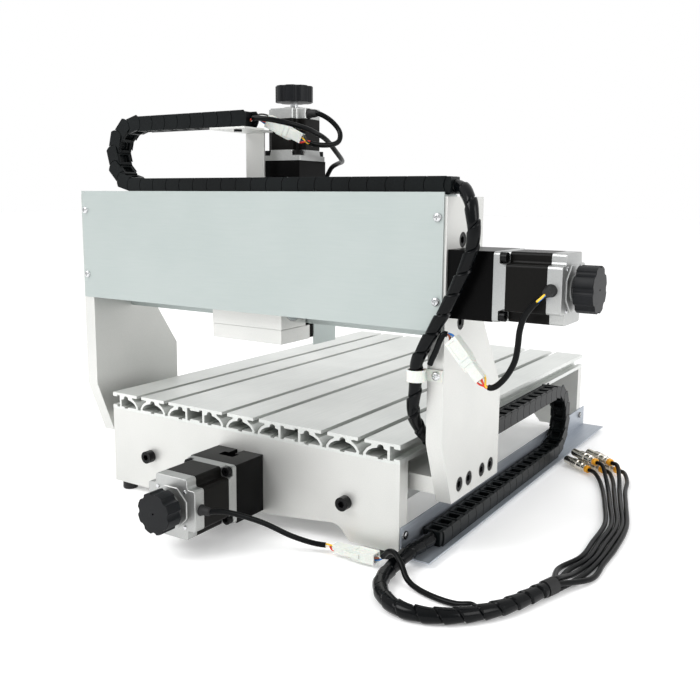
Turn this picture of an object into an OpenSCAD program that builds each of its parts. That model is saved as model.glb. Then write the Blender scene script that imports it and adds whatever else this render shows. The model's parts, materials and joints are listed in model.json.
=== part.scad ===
// Desktop CNC router: slotted work table, moving gantry, X carriage and Z slide with spindle.
// Millimetres. +X runs along the gantry, +Y along the table slots, +Z up.
// The machine is laid out from the table's near edge (y = 0) and its centre line (x = 0);
// "home" then moves it so that the origin lies under the middle of its outer box.

/* [Table] */
// Width of the work table
table_w = 360; // [300:1:432]
// Length of the work table
table_l = 520; // [430:1:624]
// Thickness of the table profiles
table_t = 18; // [16:0.5:24]
// Height of the table's underside
table_under = 90; // [84:1:110]
// Table profiles side by side
profile_count = 3; // [2:1:4]
// Spacing of the two slots in one profile
slot_pitch = 40; // [36:1:48]
// Width of a slot's mouth
slot_mouth = 7; // [6:0.5:8]

/* [Base] */
// Thickness of the end plates
end_t = 15; // [12:1:20]
// Height of the rubber feet
foot_h = 8; // [5:1:15]
// Height of the Y rails and Y ball screw
rail_z = 45; // [43:1:47]
// Distance of each Y rail from the middle
rail_x = 124; // [110:1:128]
// Height of the arch under the end plates
arch_z = 22; // [14:1:24]
// Half width of that arch
arch_half = 128; // [90:1:135]

/* [Gantry] */
// Thickness of the gantry's side plates
side_t = 15; // [12:1:18]
// Gap between the table's edge and a side plate
side_gap = 24.5; // [24:0.5:30]
// Depth of the side plates along Y
side_depth = 125; // [124:1:150]
// Height of the side plates' top
side_top = 322; // [322:1:360]
// Thickness of the cross plate under the table
cross_t = 15; // [12:1:15]
// Travel of the gantry
y_travel = 380; // [200:1:380]
// Height of the X ball screw
x_axis_z = 251; // [251:1:260]
// Distance of the X shafts above and below the X screw
x_shaft_gap = 35; // [33:1:38]
// Distance of the X shafts and X screw from the side plates' near edge
x_axis_y = 31; // [31:1:34]

/* [Carriage] */
// Width of the X carriage
carriage_w = 86; // [80:1:110]
// Thickness of the plates above and below the carriage block
carriage_plate_t = 14; // [12:1:14]
// Distance of the Z screw from the gantry's near edge
z_axis_y = 91; // [91:1:94]
// Travel of the Z slide
z_travel = 55; // [30:1:55]
// Diameter of the spindle
spindle_d = 52; // [43:1:53]
// Bore of the collet
collet_d = 6; // [3:0.5:7]

/* [Drives] */
// Diameter of all guide shafts of X and Y
shaft_d = 16; // [12:1:16]
// Diameter of the X and Y ball screws
screw_d = 16; // [12:1:16]
// Diameter of the Z screw and Z shafts
z_shaft_d = 12; // [10:1:12]
// Width of the X and Y motors
motor_w = 56.4; // [50:0.1:57]
// Width of the Z motor
z_motor_w = 46; // [42:0.5:47]
// Diameter of the hand knobs
knob_d = 38; // [30:1:44]
// Thickness of the hand knobs
knob_t = 18; // [12:1:22]

/* [Cable chains] */
// Outer width of both cable chains
chain_w = 20; // [16:1:20]
// Outer height of both cable chains
chain_h = 15; // [12:1:15]
// Bend radius of the X chain at its middle
x_bend = 31; // [28:1:34]
// Bend radius of the Y chain at its middle
y_bend = 38; // [38:1:38]

/* [Hidden] */
$fn = 64;

// Clearances
fit = 0.05;      // running and seated round fits, on the radius
hole_gap = 0.25; // screws in their holes, on the radius
eps = 0.01;
seam = 0.05;     // joint line between clamped motor parts

// Table and base
table_top = table_under + table_t;
profile_w = table_w / profile_count;
far_plate_y = table_l - end_t;
foot_d = 16;
foot_inset = 15;
arch_r = 16;
arch_flat = 28;
arch_flat_z = 13;
sheet_t = 1.5;
tray_top = 32;
tray_bottom = 5;
tray_out = 29.5;
tray_start = 2;
tray_past_end = 15;

// Gantry
side_in = table_w / 2 + side_gap;
side_out = side_in + side_t;
side_bottom = 56;
side_bend_near = 114;
side_bend_far = 144;
side_waist_y = 72;
side_waist_z = 224;
side_cut = 22;
cross_bottom = 62;
cross_top = cross_bottom + cross_t;
cover_bottom = 211;
cover_lip = 3.5;
cover_half = side_out - 2.5;
front_cover_y = 53;

// Drives
bolt_d = 8;
bolt_head_d = 13;
bolt_head_h = 8;
motor_bolt_d = 5;
housing_l = 40;
z_housing_l = 36;
flange_t = 5;
bell_t = 10.5;
stator_end = 44;
motor_l = 56;
z_stator_end = 41;
z_motor_l = 51.5;
boss_t = 2;
boss_d = 22;
motor_shaft_d = 8;
knob_gap = 5;
journal_d = 10;
z_journal_d = 8;
bearing_d = 26;
z_bearing_d = 22;
bearing_t = 8;
coupling_d = 25;
coupling_l = 30;
linear_bearing_d = 28;
linear_bearing_l = 37;
z_bush_d = 21;

// Carriage and Z axis
carriage_half = carriage_w / 2;
block_near = x_axis_y - 20;
block_far = x_axis_y + 20;
block_half_h = 56;
block_bottom = x_axis_z - block_half_h;
block_top = x_axis_z + block_half_h;
plate_top = block_top + carriage_plate_t;
plate_bottom = block_bottom - carriage_plate_t;
back_plate_y = 58;
back_plate_t = 6;
z_foot_t = 10;
z_foot_bottom = plate_bottom + 1;
z_foot_far = z_axis_y + 13;
z_top_far = z_axis_y + 25;
z_cover_bottom = 174;
z_shaft_x = 27;
slide_h = 52;
slide_top = block_top - 7;
slide_half = carriage_half - 2;
slide_near = z_axis_y - 15;
spindle_r = spindle_d / 2;
spindle_y = z_axis_y + 59;
spindle_top = 336;
spindle_bottom = 214;
nose_bottom = 184;
clamp_wall = 12;
clamp_slit = 4;

// Cable chains
chain_wall = 2.5;
x_chain_y = 1.5;
x_chain_z = side_top + sheet_t;
x_chain_right = side_out - 2.5;
x_loop_x = -139;
x_chain_end = 10;
x_upper_z = x_chain_z + 2 * x_bend;
y_chain_x = side_in - chain_w - 0.5;
y_chain_z = tray_bottom + sheet_t;
y_chain_start = 40;
y_loop_y = 353;
y_upper_start = 70;
y_upper_z = y_chain_z + 2 * y_bend;
bracket_t = 2;
bracket_y = 56;

// Outer box of the machine without its loose cords
x_end = side_out + housing_l + motor_l + knob_gap + knob_t;
y_end = housing_l + motor_l + knob_gap + knob_t;
tray_end = table_l + tray_past_end;
home = [-(x_end - side_out) / 2, -(tray_end - y_end) / 2, 0];

// Colours
plate_grey = [0.88, 0.88, 0.87];
sheet_grey = [0.80, 0.85, 0.85];
steel = [0.72, 0.73, 0.75];
black = [0.08, 0.08, 0.09];
chain_black = [0.16, 0.17, 0.18];
knob_black = [0.13, 0.14, 0.15];
milk = [0.93, 0.94, 0.92];
nickel = [0.75, 0.73, 0.68];

// Routes of the cords, in the table's coordinates
sleeve_d = 13.5;
cable_d = 4.8;
lead_d = 5;
harness_d = 12;
sleeve_route = [[194, 39.7, 14], [194, 30, 14], [193, 14, 14], [192, 1, 14],
    [190, -12, 11.5], [188, -26, 8], [190, -44, 7], [197, -61, 7], [211, -76, 7],
    [229, -84, 7], [248, -82, 7], [266, -72, 7], [281, -57, 7], [293, -39, 7],
    [301, -20, 7], [308, 1, 7], [314, 19, 7]];
cable_routes = [
    [[310, 20.6, 8.3], [312, 26.6, 8.3], [305, 62, 3], [314, 96, 3], [313, 135, 3],
        [310, 186, 3], [295, 239, 3], [281, 281, 3], [269.5, 309, 4.2], [258, 328, 6.2],
        [250, 334, 6.2]],
    [[311.6, 20.1, 3.5], [313.6, 26.1, 3.5], [313, 61, 3], [320, 96, 3], [318.5, 135, 3],
        [316, 187, 3], [300, 241, 3], [286.5, 284, 3], [275.5, 312, 8.5],
        [265.5, 332.25, 15.2], [257.5, 338.25, 15.2]],
    [[314, 19.3, 11.3], [316, 25.3, 11.3], [320, 60, 3], [325, 95, 3], [324, 135, 3],
        [321, 188, 3], [305, 243, 3], [292, 286, 3], [283, 315, 4.2], [273, 336.5, 6.2],
        [265, 342.5, 6.2]],
    [[316.4, 18.5, 3.5], [318.4, 24.5, 3.5], [327, 59, 3], [330, 94, 3], [329.5, 135, 3],
        [326, 189, 3], [310, 245, 3], [297.5, 288, 3], [289, 318, 8.5],
        [280.5, 340.75, 15.2], [272.5, 346.75, 15.2]],
    [[318, 18, 8.3], [320, 24, 8.3], [335, 58, 3], [335.2, 94, 3], [335, 135, 3],
        [330, 190, 3], [315, 247, 3], [303, 291, 3], [297, 322, 4.2], [288, 345, 6.2],
        [280, 351, 6.2]]];
plug_l = 44;
plug_d = 11.5;
plug_neck_d = 8;
plug_dir = [-0.8, 0.6, 0];
y_lead_route = [[28.5, -88, 45], [35, -88, 45], [48, -75, 43], [68, -53, 31],
    [88, -36, 17], [104, -24, 9.5], [117, -18.3, 8], [123.9, -18, 8]];
y_link_route = [[168.1, -17, 8], [171, -17, 8], [176, -18, 13.5], [182, -20.5, 19],
    [189, -23, 20], [198, -28, 15], [207, -34, 6], [220, -40, 3.2], [240, -46, 3.2],
    [258, -47, 3.5], [270, -46, 6], [277, -49.5, 7]];
x_lead_route = [[307, 2.5, 251], [307, -3, 250.5], [303, -7, 246], [296, -7, 239],
    [290, -7, 230], [287, -7, 219], [286, -7, 207], [284, -7, 195], [278, -7, 183],
    [270, -6.5, 174], [264, -6, 171], [259.6, -6, 172.8], [256.4, -6, 176.4]];
x_branch_route = [[228.9, -6, 207.4], [226.6, -6.4, 210.1], [223, -8, 211.3],
    [219.7, -9, 205], [216.3, -9, 196], [213.2, -9, 189.5], [211.2, -9, 184.5]];
z_lead_route = [[23.3, 84, 403], [34, 84, 403], [46, 89, 396], [56, 90, 385],
    [59, 84, 375], [55, 73, 371], [48, 60, 371], [42.3, 53.3, 373.7],
    [38.1, 52.05, 375.95]];
spindle_lead_route = [[10.3, 11.5, 393], [18, 12, 393], [32, 17, 391], [44, 30, 387.5],
    [50, 46, 384], [50, 60, 381], [49, 73, 378], [47, 86, 373.5], [43, 104, 366],
    [37, 122, 360.5], [28, 138, 358], [16, 148, 356.5], [6, 151, 352.5], [0, 150, 342.3]];
harness_route = [[217.3, 11.5, 330], [224, 11.5, 330], [233, 4.5, 326.5], [241.5, -4, 317],
    [245.5, -8, 305], [247, -8.5, 293], [245.5, -8.5, 281], [240.5, -9, 266],
    [233, -9, 249], [224, -9, 231], [213, -9, 212], [203.5, -9, 195], [199, -9, 184],
    [198.6, -9, 174], [198.2, -9, 164], [196, -8, 150], [194, -3, 138], [194, 7, 125],
    [194, 22, 112], [194, 42, 98], [194, 58, 90.5], [194, 69.7, 90.5]];

// ---------------------------------------------------------------- shapes that repeat

// Socket head screw: its head stands on z = 0 and its shank runs down.
module cap_screw(d, l, head_d, head_h) {
    difference() {
        union() {
            cylinder(d = head_d, h = head_h);
            translate([0, 0, -l]) cylinder(d = d, h = l + 1);
        }
        translate([0, 0, head_h * 0.45]) cylinder(d = d * 0.86, h = head_h, $fn = 6);
    }
}

// Cross-recessed pan head screw on z = 0.
module pan_screw(d, l) {
    cylinder(d = d * 1.9, h = d * 0.5);
    translate([0, 0, -l]) cylinder(d = d, h = l + 1);
}

module at_each(places) {
    for (p = places) translate(p) children();
}

// Square outline with its four corners cut back for the screw heads.
module notched_square(w) {
    corner = 9.23;
    difference() {
        square(w, center = true);
        for (sx = [-1, 1], sy = [-1, 1]) translate([sx * w / 2, sy * w / 2])
            square(2 * corner, center = true);
    }
}

// Stepper motor along +Z: front bell with square flange, stator and rear bell.
module stepper(w, stator_to, l) {
    hole = (w - 9.26) / 2;
    bore = motor_shaft_d / 2 + fit;
    difference() {
        union() {
            translate([-w / 2, -w / 2, 0]) cube([w, w, flange_t]);
            linear_extrude(bell_t - seam) notched_square(w);
        }
        translate([0, 0, -eps]) cylinder(r = bore, h = l);
        for (sx = [-1, 1], sy = [-1, 1])
            translate([sx * hole, sy * hole, -eps])
                cylinder(d = motor_bolt_d + 2 * hole_gap, h = flange_t + 1);
    }
    translate([0, 0, bell_t]) difference() {
        linear_extrude(stator_to - bell_t - seam) notched_square(w);
        translate([0, 0, -eps]) cylinder(r = bore, h = l);
    }
    translate([0, 0, stator_to]) difference() {
        union() {
            linear_extrude(l - stator_to) notched_square(w);
            cylinder(d = boss_d, h = l - stator_to + boss_t);
        }
        translate([0, 0, -eps]) cylinder(r = bore, h = l);
    }
}

// The four screws that hold a motor's flange, heads towards +Z.
module stepper_screws(w) {
    hole = (w - 9.26) / 2;
    for (sx = [-1, 1], sy = [-1, 1])
        translate([sx * hole, sy * hole, flange_t])
            cap_screw(motor_bolt_d, 14, 8.4, 5);
}

// Coupling housing along -Z from the motor's face, with a T-shaped window in its +Y side.
module coupling_housing(w, l) {
    hole = (w - 9.26) / 2;
    difference() {
        translate([-w / 2, -w / 2, -l]) cube([w, w, l]);
        translate([0, 0, -l - eps]) cylinder(d = w - 13, h = l + 2 * eps);
        translate([-4, 0, -l - eps]) cube([8, w, l * 0.35]);
        translate([-9, 0, -l * 0.68]) cube([18, w, l * 0.24]);
        for (sx = [-1, 1], sy = [-1, 1])
            translate([sx * hole, sy * hole, -10])
                cylinder(d = motor_bolt_d + 2 * hole_gap, h = 11);
    }
}

// Motor shaft with its coupling: the shaft runs out at both ends of the motor.
module motor_line(l, housing, tip) {
    translate([0, 0, -housing / 2 + 1]) cylinder(d = motor_shaft_d, h = housing / 2 - 1 + l + tip);
    translate([0, 0, -housing / 2 - coupling_l / 2]) difference() {
        cylinder(d = coupling_d, h = coupling_l);
        translate([0, 0, -eps]) cylinder(r = journal_d / 2 + fit, h = coupling_l / 2);
        translate([0, 0, coupling_l / 2 - 1])
            cylinder(r = motor_shaft_d / 2 + fit, h = coupling_l);
    }
}

// Lobed hand knob on +Z with a bore for the motor shaft.
module hand_knob(d, t) {
    difference() {
        cylinder(d = d, h = t);
        for (i = [0:7]) rotate(i * 45) translate([d * 0.56, 0, -eps])
            cylinder(d = d * 0.22, h = t + 2 * eps);
        translate([0, 0, -eps]) cylinder(r = motor_shaft_d / 2 + fit, h = t * 0.7);
    }
}

// Ring for a ball bearing on z = 0.
module bearing_ring(bore_d, outer_d, t) {
    difference() {
        cylinder(d = outer_d, h = t);
        translate([0, 0, -eps]) cylinder(r = bore_d / 2 + fit, h = t + 2 * eps);
    }
}

// Straight run of cable chain from the origin along +Y, hollow for the cables.
module chain_run(l) {
    difference() {
        cube([chain_w, l, chain_h]);
        translate([chain_wall, -eps, chain_wall])
            cube([chain_w - 2 * chain_wall, l + 2 * eps, chain_h - 2 * chain_wall]);
    }
}

// Half turn of cable chain about the X axis, bulging to +Y.
module chain_turn(r) {
    rotate([0, 90, 0]) rotate([0, 0, 0]) rotate_extrude(angle = 180)
        translate([r - chain_h / 2, 0]) difference() {
            square([chain_h, chain_w]);
            translate([chain_wall, chain_wall])
                square([chain_h - 2 * chain_wall, chain_w - 2 * chain_wall]);
        }
}

// Tube swept along a route: eight sides, one ring at each point.
function unit(v) = v / norm(v);
function tangent(p, i) =
    unit(p[min(i + 1, len(p) - 1)] - p[max(i - 1, 0)]);
function side_of(t) = abs(t[2]) > 0.9 ? unit(cross(t, [0, 1, 0])) : unit(cross(t, [0, 0, 1]));
function ring(p, i, r, sides) =
    let (t = tangent(p, i), u = side_of(t), v = cross(t, u))
    [for (k = [0:sides - 1]) p[i] + r * (cos(360 * k / sides) * u + sin(360 * k / sides) * v)];
module tube(p, d, sides = 8) {
    n = len(p);
    points = [for (i = [0:n - 1]) each ring(p, i, d / 2, sides)];
    walls = [for (i = [0:n - 2], k = [0:sides - 1])
        let (a = i * sides + k, b = i * sides + (k + 1) % sides)
        each [[a, b, b + sides], [a, b + sides, a + sides]]];
    first = [[for (k = [sides - 1:-1:0]) k]];
    last = [[for (k = [0:sides - 1]) (n - 1) * sides + k]];
    polyhedron(points = points, faces = concat(walls, first, last), convexity = 6);
}

// Children stood on +Z, turned to point along v.
module point_along(v) {
    rotate([0, acos(v[2] / norm(v)), atan2(v[1], v[0])]) children();
}

// ---------------------------------------------------------------- table and base

module slot_outline() {
    h = slot_mouth / 2;
    side = [[h, table_t + 1], [h, table_t - 3.2], [h + 7, table_t - 3.2], [h + 7, table_t - 4.8],
        [h + 2.7, table_t - 7.4], [h + 1.1, table_t - 9.4], [2.2, 5.4], [2.2, 2.6]];
    n = len(side);
    polygon(concat(side, [for (i = [n - 1:-1:0]) [-side[i][0], side[i][1]]]));
}

// One side of the lobed hollow between slots, out to x = reach.
function lobe(reach) = concat(
    [[2.2, table_t - 3], [3.3, table_t - 4.6], [3.3, table_t - 6]],
    reach > 10
        ? [[8.2, table_t - 7.2], [12.8, 8.2], [reach, 4.8], [reach - 0.8, 3.4]]
        : [[reach, table_t - 7], [reach, 3.4]],
    [[2.6, 3.4], [2.6, 1.8]]);

module lobed_chamber(left, right) {
    a = lobe(right);
    b = lobe(left);
    polygon(concat([[0, table_t - 2.4]], a, [for (i = [len(b) - 1:-1:0]) [-b[i][0], b[i][1]]]));
}

module edge_groove() {
    translate([-1, 4.4]) square([8, table_t - 8.8]);
    translate([6.3, 2.5]) square([4, table_t - 5]);
}

module profile_section() {
    slot_x = slot_pitch / 2;
    lobe_reach = slot_pitch / 2 - 4.6;
    outer_reach = slot_pitch / 2 - 12.9;
    difference() {
        translate([(seam - profile_w) / 2, 0]) square([profile_w - seam, table_t]);
        for (sx = [-1, 1]) translate([sx * slot_x, 0]) slot_outline();
        lobed_chamber(lobe_reach, lobe_reach);
        translate([-slot_pitch, 0]) lobed_chamber(outer_reach, lobe_reach);
        translate([slot_pitch, 0]) lobed_chamber(lobe_reach, outer_reach);
        translate([-profile_w / 2, 0]) edge_groove();
        translate([profile_w / 2, 0]) mirror([1, 0]) edge_groove();
    }
}

module table_profiles() color(plate_grey) translate(home)
    for (i = [0:profile_count - 1])
        translate([(i + 0.5) * profile_w - table_w / 2, table_l, table_under])
            rotate([90, 0, 0]) linear_extrude(table_l) profile_section();

module end_plate_outline() {
    half = table_w / 2;
    shoulder = arch_half - arch_r - 3;
    difference() {
        translate([-half, foot_h]) square([table_w, table_under - foot_h]);
        polygon([[-shoulder, 0], [-shoulder, arch_z], [-arch_flat, arch_flat_z],
            [arch_flat, arch_flat_z], [shoulder, arch_z], [shoulder, 0]]);
        for (sx = [-1, 1]) {
            translate([sx * shoulder, arch_z - arch_r]) circle(r = arch_r);
            polygon([[sx * shoulder, 0], [sx * arch_half, 0], [sx * arch_half, foot_h],
                [sx * (shoulder + arch_r - 0.5), foot_h + 5], [sx * shoulder, foot_h + 5]]);
        }
    }
}

module end_plate() {
    difference() {
        translate([0, end_t, 0]) rotate([90, 0, 0]) linear_extrude(end_t) end_plate_outline();
        for (sx = [-1, 1]) translate([sx * rail_x, -eps, rail_z]) rotate([-90, 0, 0])
            cylinder(r = bolt_d / 2 + hole_gap, h = end_t + 2 * eps);
        translate([0, -eps, rail_z]) rotate([-90, 0, 0])
            cylinder(r = journal_d / 2 + 1, h = end_t + 2 * eps);
        translate([0, end_t - bearing_t, rail_z]) rotate([-90, 0, 0])
            cylinder(r = bearing_d / 2 + fit, h = bearing_t + eps);
    }
}

module end_plates() color(plate_grey) translate(home) {
    end_plate();
    translate([0, table_l, 0]) mirror([0, 1, 0]) end_plate();
}

module y_shafts() color(steel) translate(home)
    for (sx = [-1, 1]) translate([sx * rail_x, end_t, rail_z]) rotate([-90, 0, 0])
        difference() {
            cylinder(d = shaft_d, h = table_l - 2 * end_t);
            translate([0, 0, -eps]) cylinder(r = bolt_d / 2 + hole_gap, h = 22);
            translate([0, 0, table_l - 2 * end_t - 22])
                cylinder(r = bolt_d / 2 + hole_gap, h = 22 + eps);
        }

module base_screws() color(black) translate(home) {
    for (sx = [-1, 1]) {
        translate([sx * rail_x, 0, rail_z]) rotate([90, 0, 0])
            cap_screw(bolt_d, end_t + 18, bolt_head_d, bolt_head_h);
        translate([sx * rail_x, table_l, rail_z]) rotate([-90, 0, 0])
            cap_screw(bolt_d, end_t + 18, bolt_head_d, bolt_head_h);
    }
    translate([0, -housing_l, rail_z]) rotate([90, 0, 0]) stepper_screws(motor_w);
    for (y = [end_t / 2, table_l - end_t / 2])
        translate([table_w / 2 + sheet_t, y, 24]) rotate([0, 90, 0]) pan_screw(4, 1.4);
}

module feet() color(black) translate(home)
    for (sx = [-1, 1], y = [end_t / 2, table_l - end_t / 2])
        translate([sx * (table_w / 2 - foot_inset), y, 0]) cylinder(d = foot_d, h = foot_h);

module cable_tray() color(sheet_grey) translate(home)
    translate([table_w / 2, tray_start, tray_bottom]) difference() {
        cube([tray_out, tray_end - tray_start, tray_top - tray_bottom]);
        translate([sheet_t, -eps, sheet_t])
            cube([tray_out, tray_end - tray_start + 2 * eps, tray_top - tray_bottom]);
        for (y = [end_t / 2, table_l - end_t / 2])
            translate([-eps, y - tray_start, 24 - tray_bottom]) rotate([0, 90, 0])
                cylinder(r = 2 + hole_gap, h = sheet_t + 2 * eps);
    }

// ---------------------------------------------------------------- Y drive

module y_frame() translate([0, -housing_l, rail_z]) rotate([90, 0, 0]) children();

module y_housing() color(black) translate(home) y_frame() coupling_housing(motor_w, housing_l);
module y_motor() color(black) translate(home) y_frame() stepper(motor_w, stator_end, motor_l);
module y_motor_shaft() color(steel) translate(home)
    y_frame() motor_line(motor_l, housing_l, knob_gap + knob_t * 0.6);
module y_knob() color(knob_black) translate(home)
    y_frame() translate([0, 0, motor_l + knob_gap]) hand_knob(knob_d, knob_t);

module y_screw() color(steel) translate(home) translate([0, 0, rail_z]) rotate([-90, 0, 0]) {
    translate([0, 0, end_t + 2]) cylinder(d = screw_d, h = table_l - 2 * end_t - 4);
    translate([0, 0, -housing_l / 2 + 1])
        cylinder(d = journal_d, h = table_l - 4 + housing_l / 2 - 1);
}

module y_screw_bearings() color(steel) translate(home)
    for (y = [end_t - bearing_t, far_plate_y]) translate([0, y, rail_z]) rotate([-90, 0, 0])
        bearing_ring(journal_d, bearing_d, bearing_t);

module y_nut() color(plate_grey) translate(home) translate([-22, 50, rail_z - 18]) difference() {
    cube([44, 44, cross_bottom - rail_z + 18]);
    translate([22, -eps, 18]) rotate([-90, 0, 0]) cylinder(r = screw_d / 2 + fit, h = 45);
}

// ---------------------------------------------------------------- gantry

function cross_bolts_y() = [38, 58, 87, 107];

module side_plate_outline() {
    polygon([[0, side_top], [0, side_bend_near], [side_cut, side_bottom],
        [side_depth, side_bottom], [side_depth, side_bend_far], [side_waist_y, side_waist_z],
        [side_waist_y, side_top]]);
}

// Side plate from its inner face at x = 0 outwards along +X.
module side_plate() {
    difference() {
        rotate([90, 0, 90]) linear_extrude(side_t) side_plate_outline();
        for (dz = [-1, 1]) translate([-eps, x_axis_y, x_axis_z + dz * x_shaft_gap])
            rotate([0, 90, 0]) {
                cylinder(r = bolt_d / 2 + hole_gap, h = side_t + 1);
                translate([0, 0, side_t - bolt_head_h - 0.5])
                    cylinder(r = bolt_head_d / 2 + hole_gap, h = bolt_head_h + 2);
            }
        for (y = cross_bolts_y()) translate([-eps, y, cross_bottom + cross_t / 2])
            rotate([0, 90, 0]) {
                cylinder(r = bolt_d / 2 + hole_gap, h = side_t + 1);
                translate([0, 0, side_t - bolt_head_h - 0.5])
                    cylinder(r = bolt_head_d / 2 + hole_gap, h = bolt_head_h + 2);
            }
        translate([-eps, x_axis_y, x_axis_z]) rotate([0, 90, 0]) {
            cylinder(r = journal_d / 2 + 1, h = side_t + 1);
            cylinder(r = bearing_d / 2 + fit, h = bearing_t + eps);
        }
        for (z = [236, 305]) translate([side_out - side_in - 8, -eps, z]) rotate([-90, 0, 0])
            cylinder(r = 2 + hole_gap, h = 12);
    }
}

module side_plates() color(plate_grey) translate(home) {
    translate([side_in, 0, 0]) side_plate();
    mirror([1, 0, 0]) translate([side_in, 0, 0]) side_plate();
}

module cross_plate() color(plate_grey) translate(home) difference() {
    translate([-side_in, side_cut, cross_bottom])
        cube([2 * side_in, side_depth - side_cut - 3, cross_t]);
    for (sx = [-1, 1], y = cross_bolts_y())
        translate([sx * side_in, y, cross_bottom + cross_t / 2]) rotate([0, -sx * 90, 0])
            translate([0, 0, -eps]) cylinder(r = bolt_d / 2 + hole_gap, h = 22);
}

module y_bearing_blocks() color(plate_grey) translate(home)
    for (sx = [-1, 1], y = [24, 76]) translate([sx * rail_x - 21, y, 27]) difference() {
        cube([42, 45, cross_bottom - 27]);
        translate([21, -eps, rail_z - 27]) rotate([-90, 0, 0])
            cylinder(r = shaft_d / 2 + fit, h = 46);
    }

module gantry_screws() color(black) translate(home) {
    for (sx = [-1, 1]) {
        for (dz = [-1, 1])
            translate([sx * (side_out - bolt_head_h - 0.5), x_axis_y, x_axis_z + dz * x_shaft_gap])
                rotate([0, sx * 90, 0]) cap_screw(bolt_d, 20, bolt_head_d, bolt_head_h);
        for (y = cross_bolts_y())
            translate([sx * (side_out - bolt_head_h - 0.5), y, cross_bottom + cross_t / 2])
                rotate([0, sx * 90, 0]) cap_screw(bolt_d, 20, bolt_head_d, bolt_head_h);
        for (z = [236, 305])
            translate([sx * (side_out - 8), -sheet_t, z]) rotate([90, 0, 0]) pan_screw(4, 9);
    }
    x_frame() stepper_screws(motor_w);
}

module x_shafts() color(steel) translate(home)
    for (dz = [-1, 1]) translate([-side_in, x_axis_y, x_axis_z + dz * x_shaft_gap])
        rotate([0, 90, 0]) difference() {
            cylinder(d = shaft_d, h = 2 * side_in);
            translate([0, 0, -eps]) cylinder(r = bolt_d / 2 + hole_gap, h = 18);
            translate([0, 0, 2 * side_in - 18])
                cylinder(r = bolt_d / 2 + hole_gap, h = 18 + eps);
        }

module rear_cover() color(sheet_grey) translate(home) difference() {
    union() {
        translate([-cover_half, -sheet_t, cover_bottom])
            cube([2 * cover_half, sheet_t, side_top + cover_lip - cover_bottom]);
        translate([-cover_half, -sheet_t, side_top])
            cube([2 * cover_half, x_chain_y + chain_w + 3, sheet_t]);
    }
    for (sx = [-1, 1], z = [236, 305])
        translate([sx * (side_out - 8), -sheet_t - eps, z]) rotate([-90, 0, 0])
            cylinder(r = 2 + hole_gap, h = sheet_t + 2 * eps);
}

module front_cover() color(sheet_grey) translate(home)
    translate([-side_in, front_cover_y, block_bottom + 2])
        cube([2 * side_in, sheet_t, 2 * block_half_h - 4]);

// P-clip round the harness, its ear screwed to the side plate's near edge.
module cable_clip() color(milk) translate(home) {
    clip_h = 10;
    translate([198.6, -9, 169]) difference() {
        union() {
            cylinder(r = harness_d / 2 + 2, h = clip_h);
            translate([0, harness_d / 2 + 0.8, 0]) cube([20.5, 2.2, clip_h]);
        }
        translate([0, 0, -eps]) cylinder(r = harness_d / 2 + 1, h = clip_h + 1);
    }
    translate([214, -0.05, 174]) rotate([90, 0, 0]) cylinder(d = 8, h = 3);
}

// ---------------------------------------------------------------- X drive

module x_frame() translate([side_out + housing_l, x_axis_y, x_axis_z]) rotate([0, 90, 0])
    children();

module x_housing() color(black) translate(home) x_frame() coupling_housing(motor_w, housing_l);
module x_motor() color(black) translate(home) x_frame() stepper(motor_w, stator_end, motor_l);
module x_motor_shaft() color(steel) translate(home)
    x_frame() motor_line(motor_l, housing_l, knob_gap + knob_t * 0.6);
module x_knob() color(knob_black) translate(home)
    x_frame() translate([0, 0, motor_l + knob_gap]) hand_knob(knob_d, knob_t);

module x_screw() color(steel) translate(home)
    translate([-side_in, x_axis_y, x_axis_z]) rotate([0, 90, 0]) {
        translate([0, 0, 2]) cylinder(d = screw_d, h = 2 * side_in - 4);
        translate([0, 0, -side_t + 4])
            cylinder(d = journal_d, h = 2 * side_in + 2 * side_t - 4 + housing_l / 2 - 1);
    }

module x_screw_bearings() color(steel) translate(home)
    for (x = [-side_in - bearing_t, side_in]) translate([x, x_axis_y, x_axis_z])
        rotate([0, 90, 0]) bearing_ring(journal_d, bearing_d, bearing_t);

module x_nut() color(steel) translate(home)
    translate([-25, x_axis_y, x_axis_z]) rotate([0, 90, 0]) bearing_ring(screw_d, 28, 50);

// ---------------------------------------------------------------- X carriage

module carriage_block() color(plate_grey) translate(home) {
    translate([-carriage_half, 0, 0]) difference() {
        translate([0, block_near, block_bottom])
            cube([carriage_w, block_far - block_near, 2 * block_half_h]);
        for (dz = [-1, 0, 1]) translate([-eps, x_axis_y, x_axis_z + dz * x_shaft_gap])
            rotate([0, 90, 0])
                cylinder(r = linear_bearing_d / 2 + fit, h = carriage_w + 2 * eps);
    }
    for (dz = [-1, 1], x = [-carriage_half, carriage_half - linear_bearing_l])
        translate([x, x_axis_y, x_axis_z + dz * x_shaft_gap]) rotate([0, 90, 0])
            bearing_ring(shaft_d, linear_bearing_d, linear_bearing_l);
}

module carriage_plates() color(plate_grey) translate(home) {
    translate([-carriage_half, block_near, plate_bottom])
        cube([carriage_w, back_plate_y - block_near, carriage_plate_t]);
    difference() {
        translate([-carriage_half, block_near, block_top])
            cube([carriage_w, z_top_far - block_near, carriage_plate_t]);
        translate([0, z_axis_y, block_top - eps]) {
            cylinder(r = z_journal_d / 2 + 1, h = carriage_plate_t + 1);
            cylinder(r = z_bearing_d / 2 + fit, h = bearing_t + eps);
        }
    }
}

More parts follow.
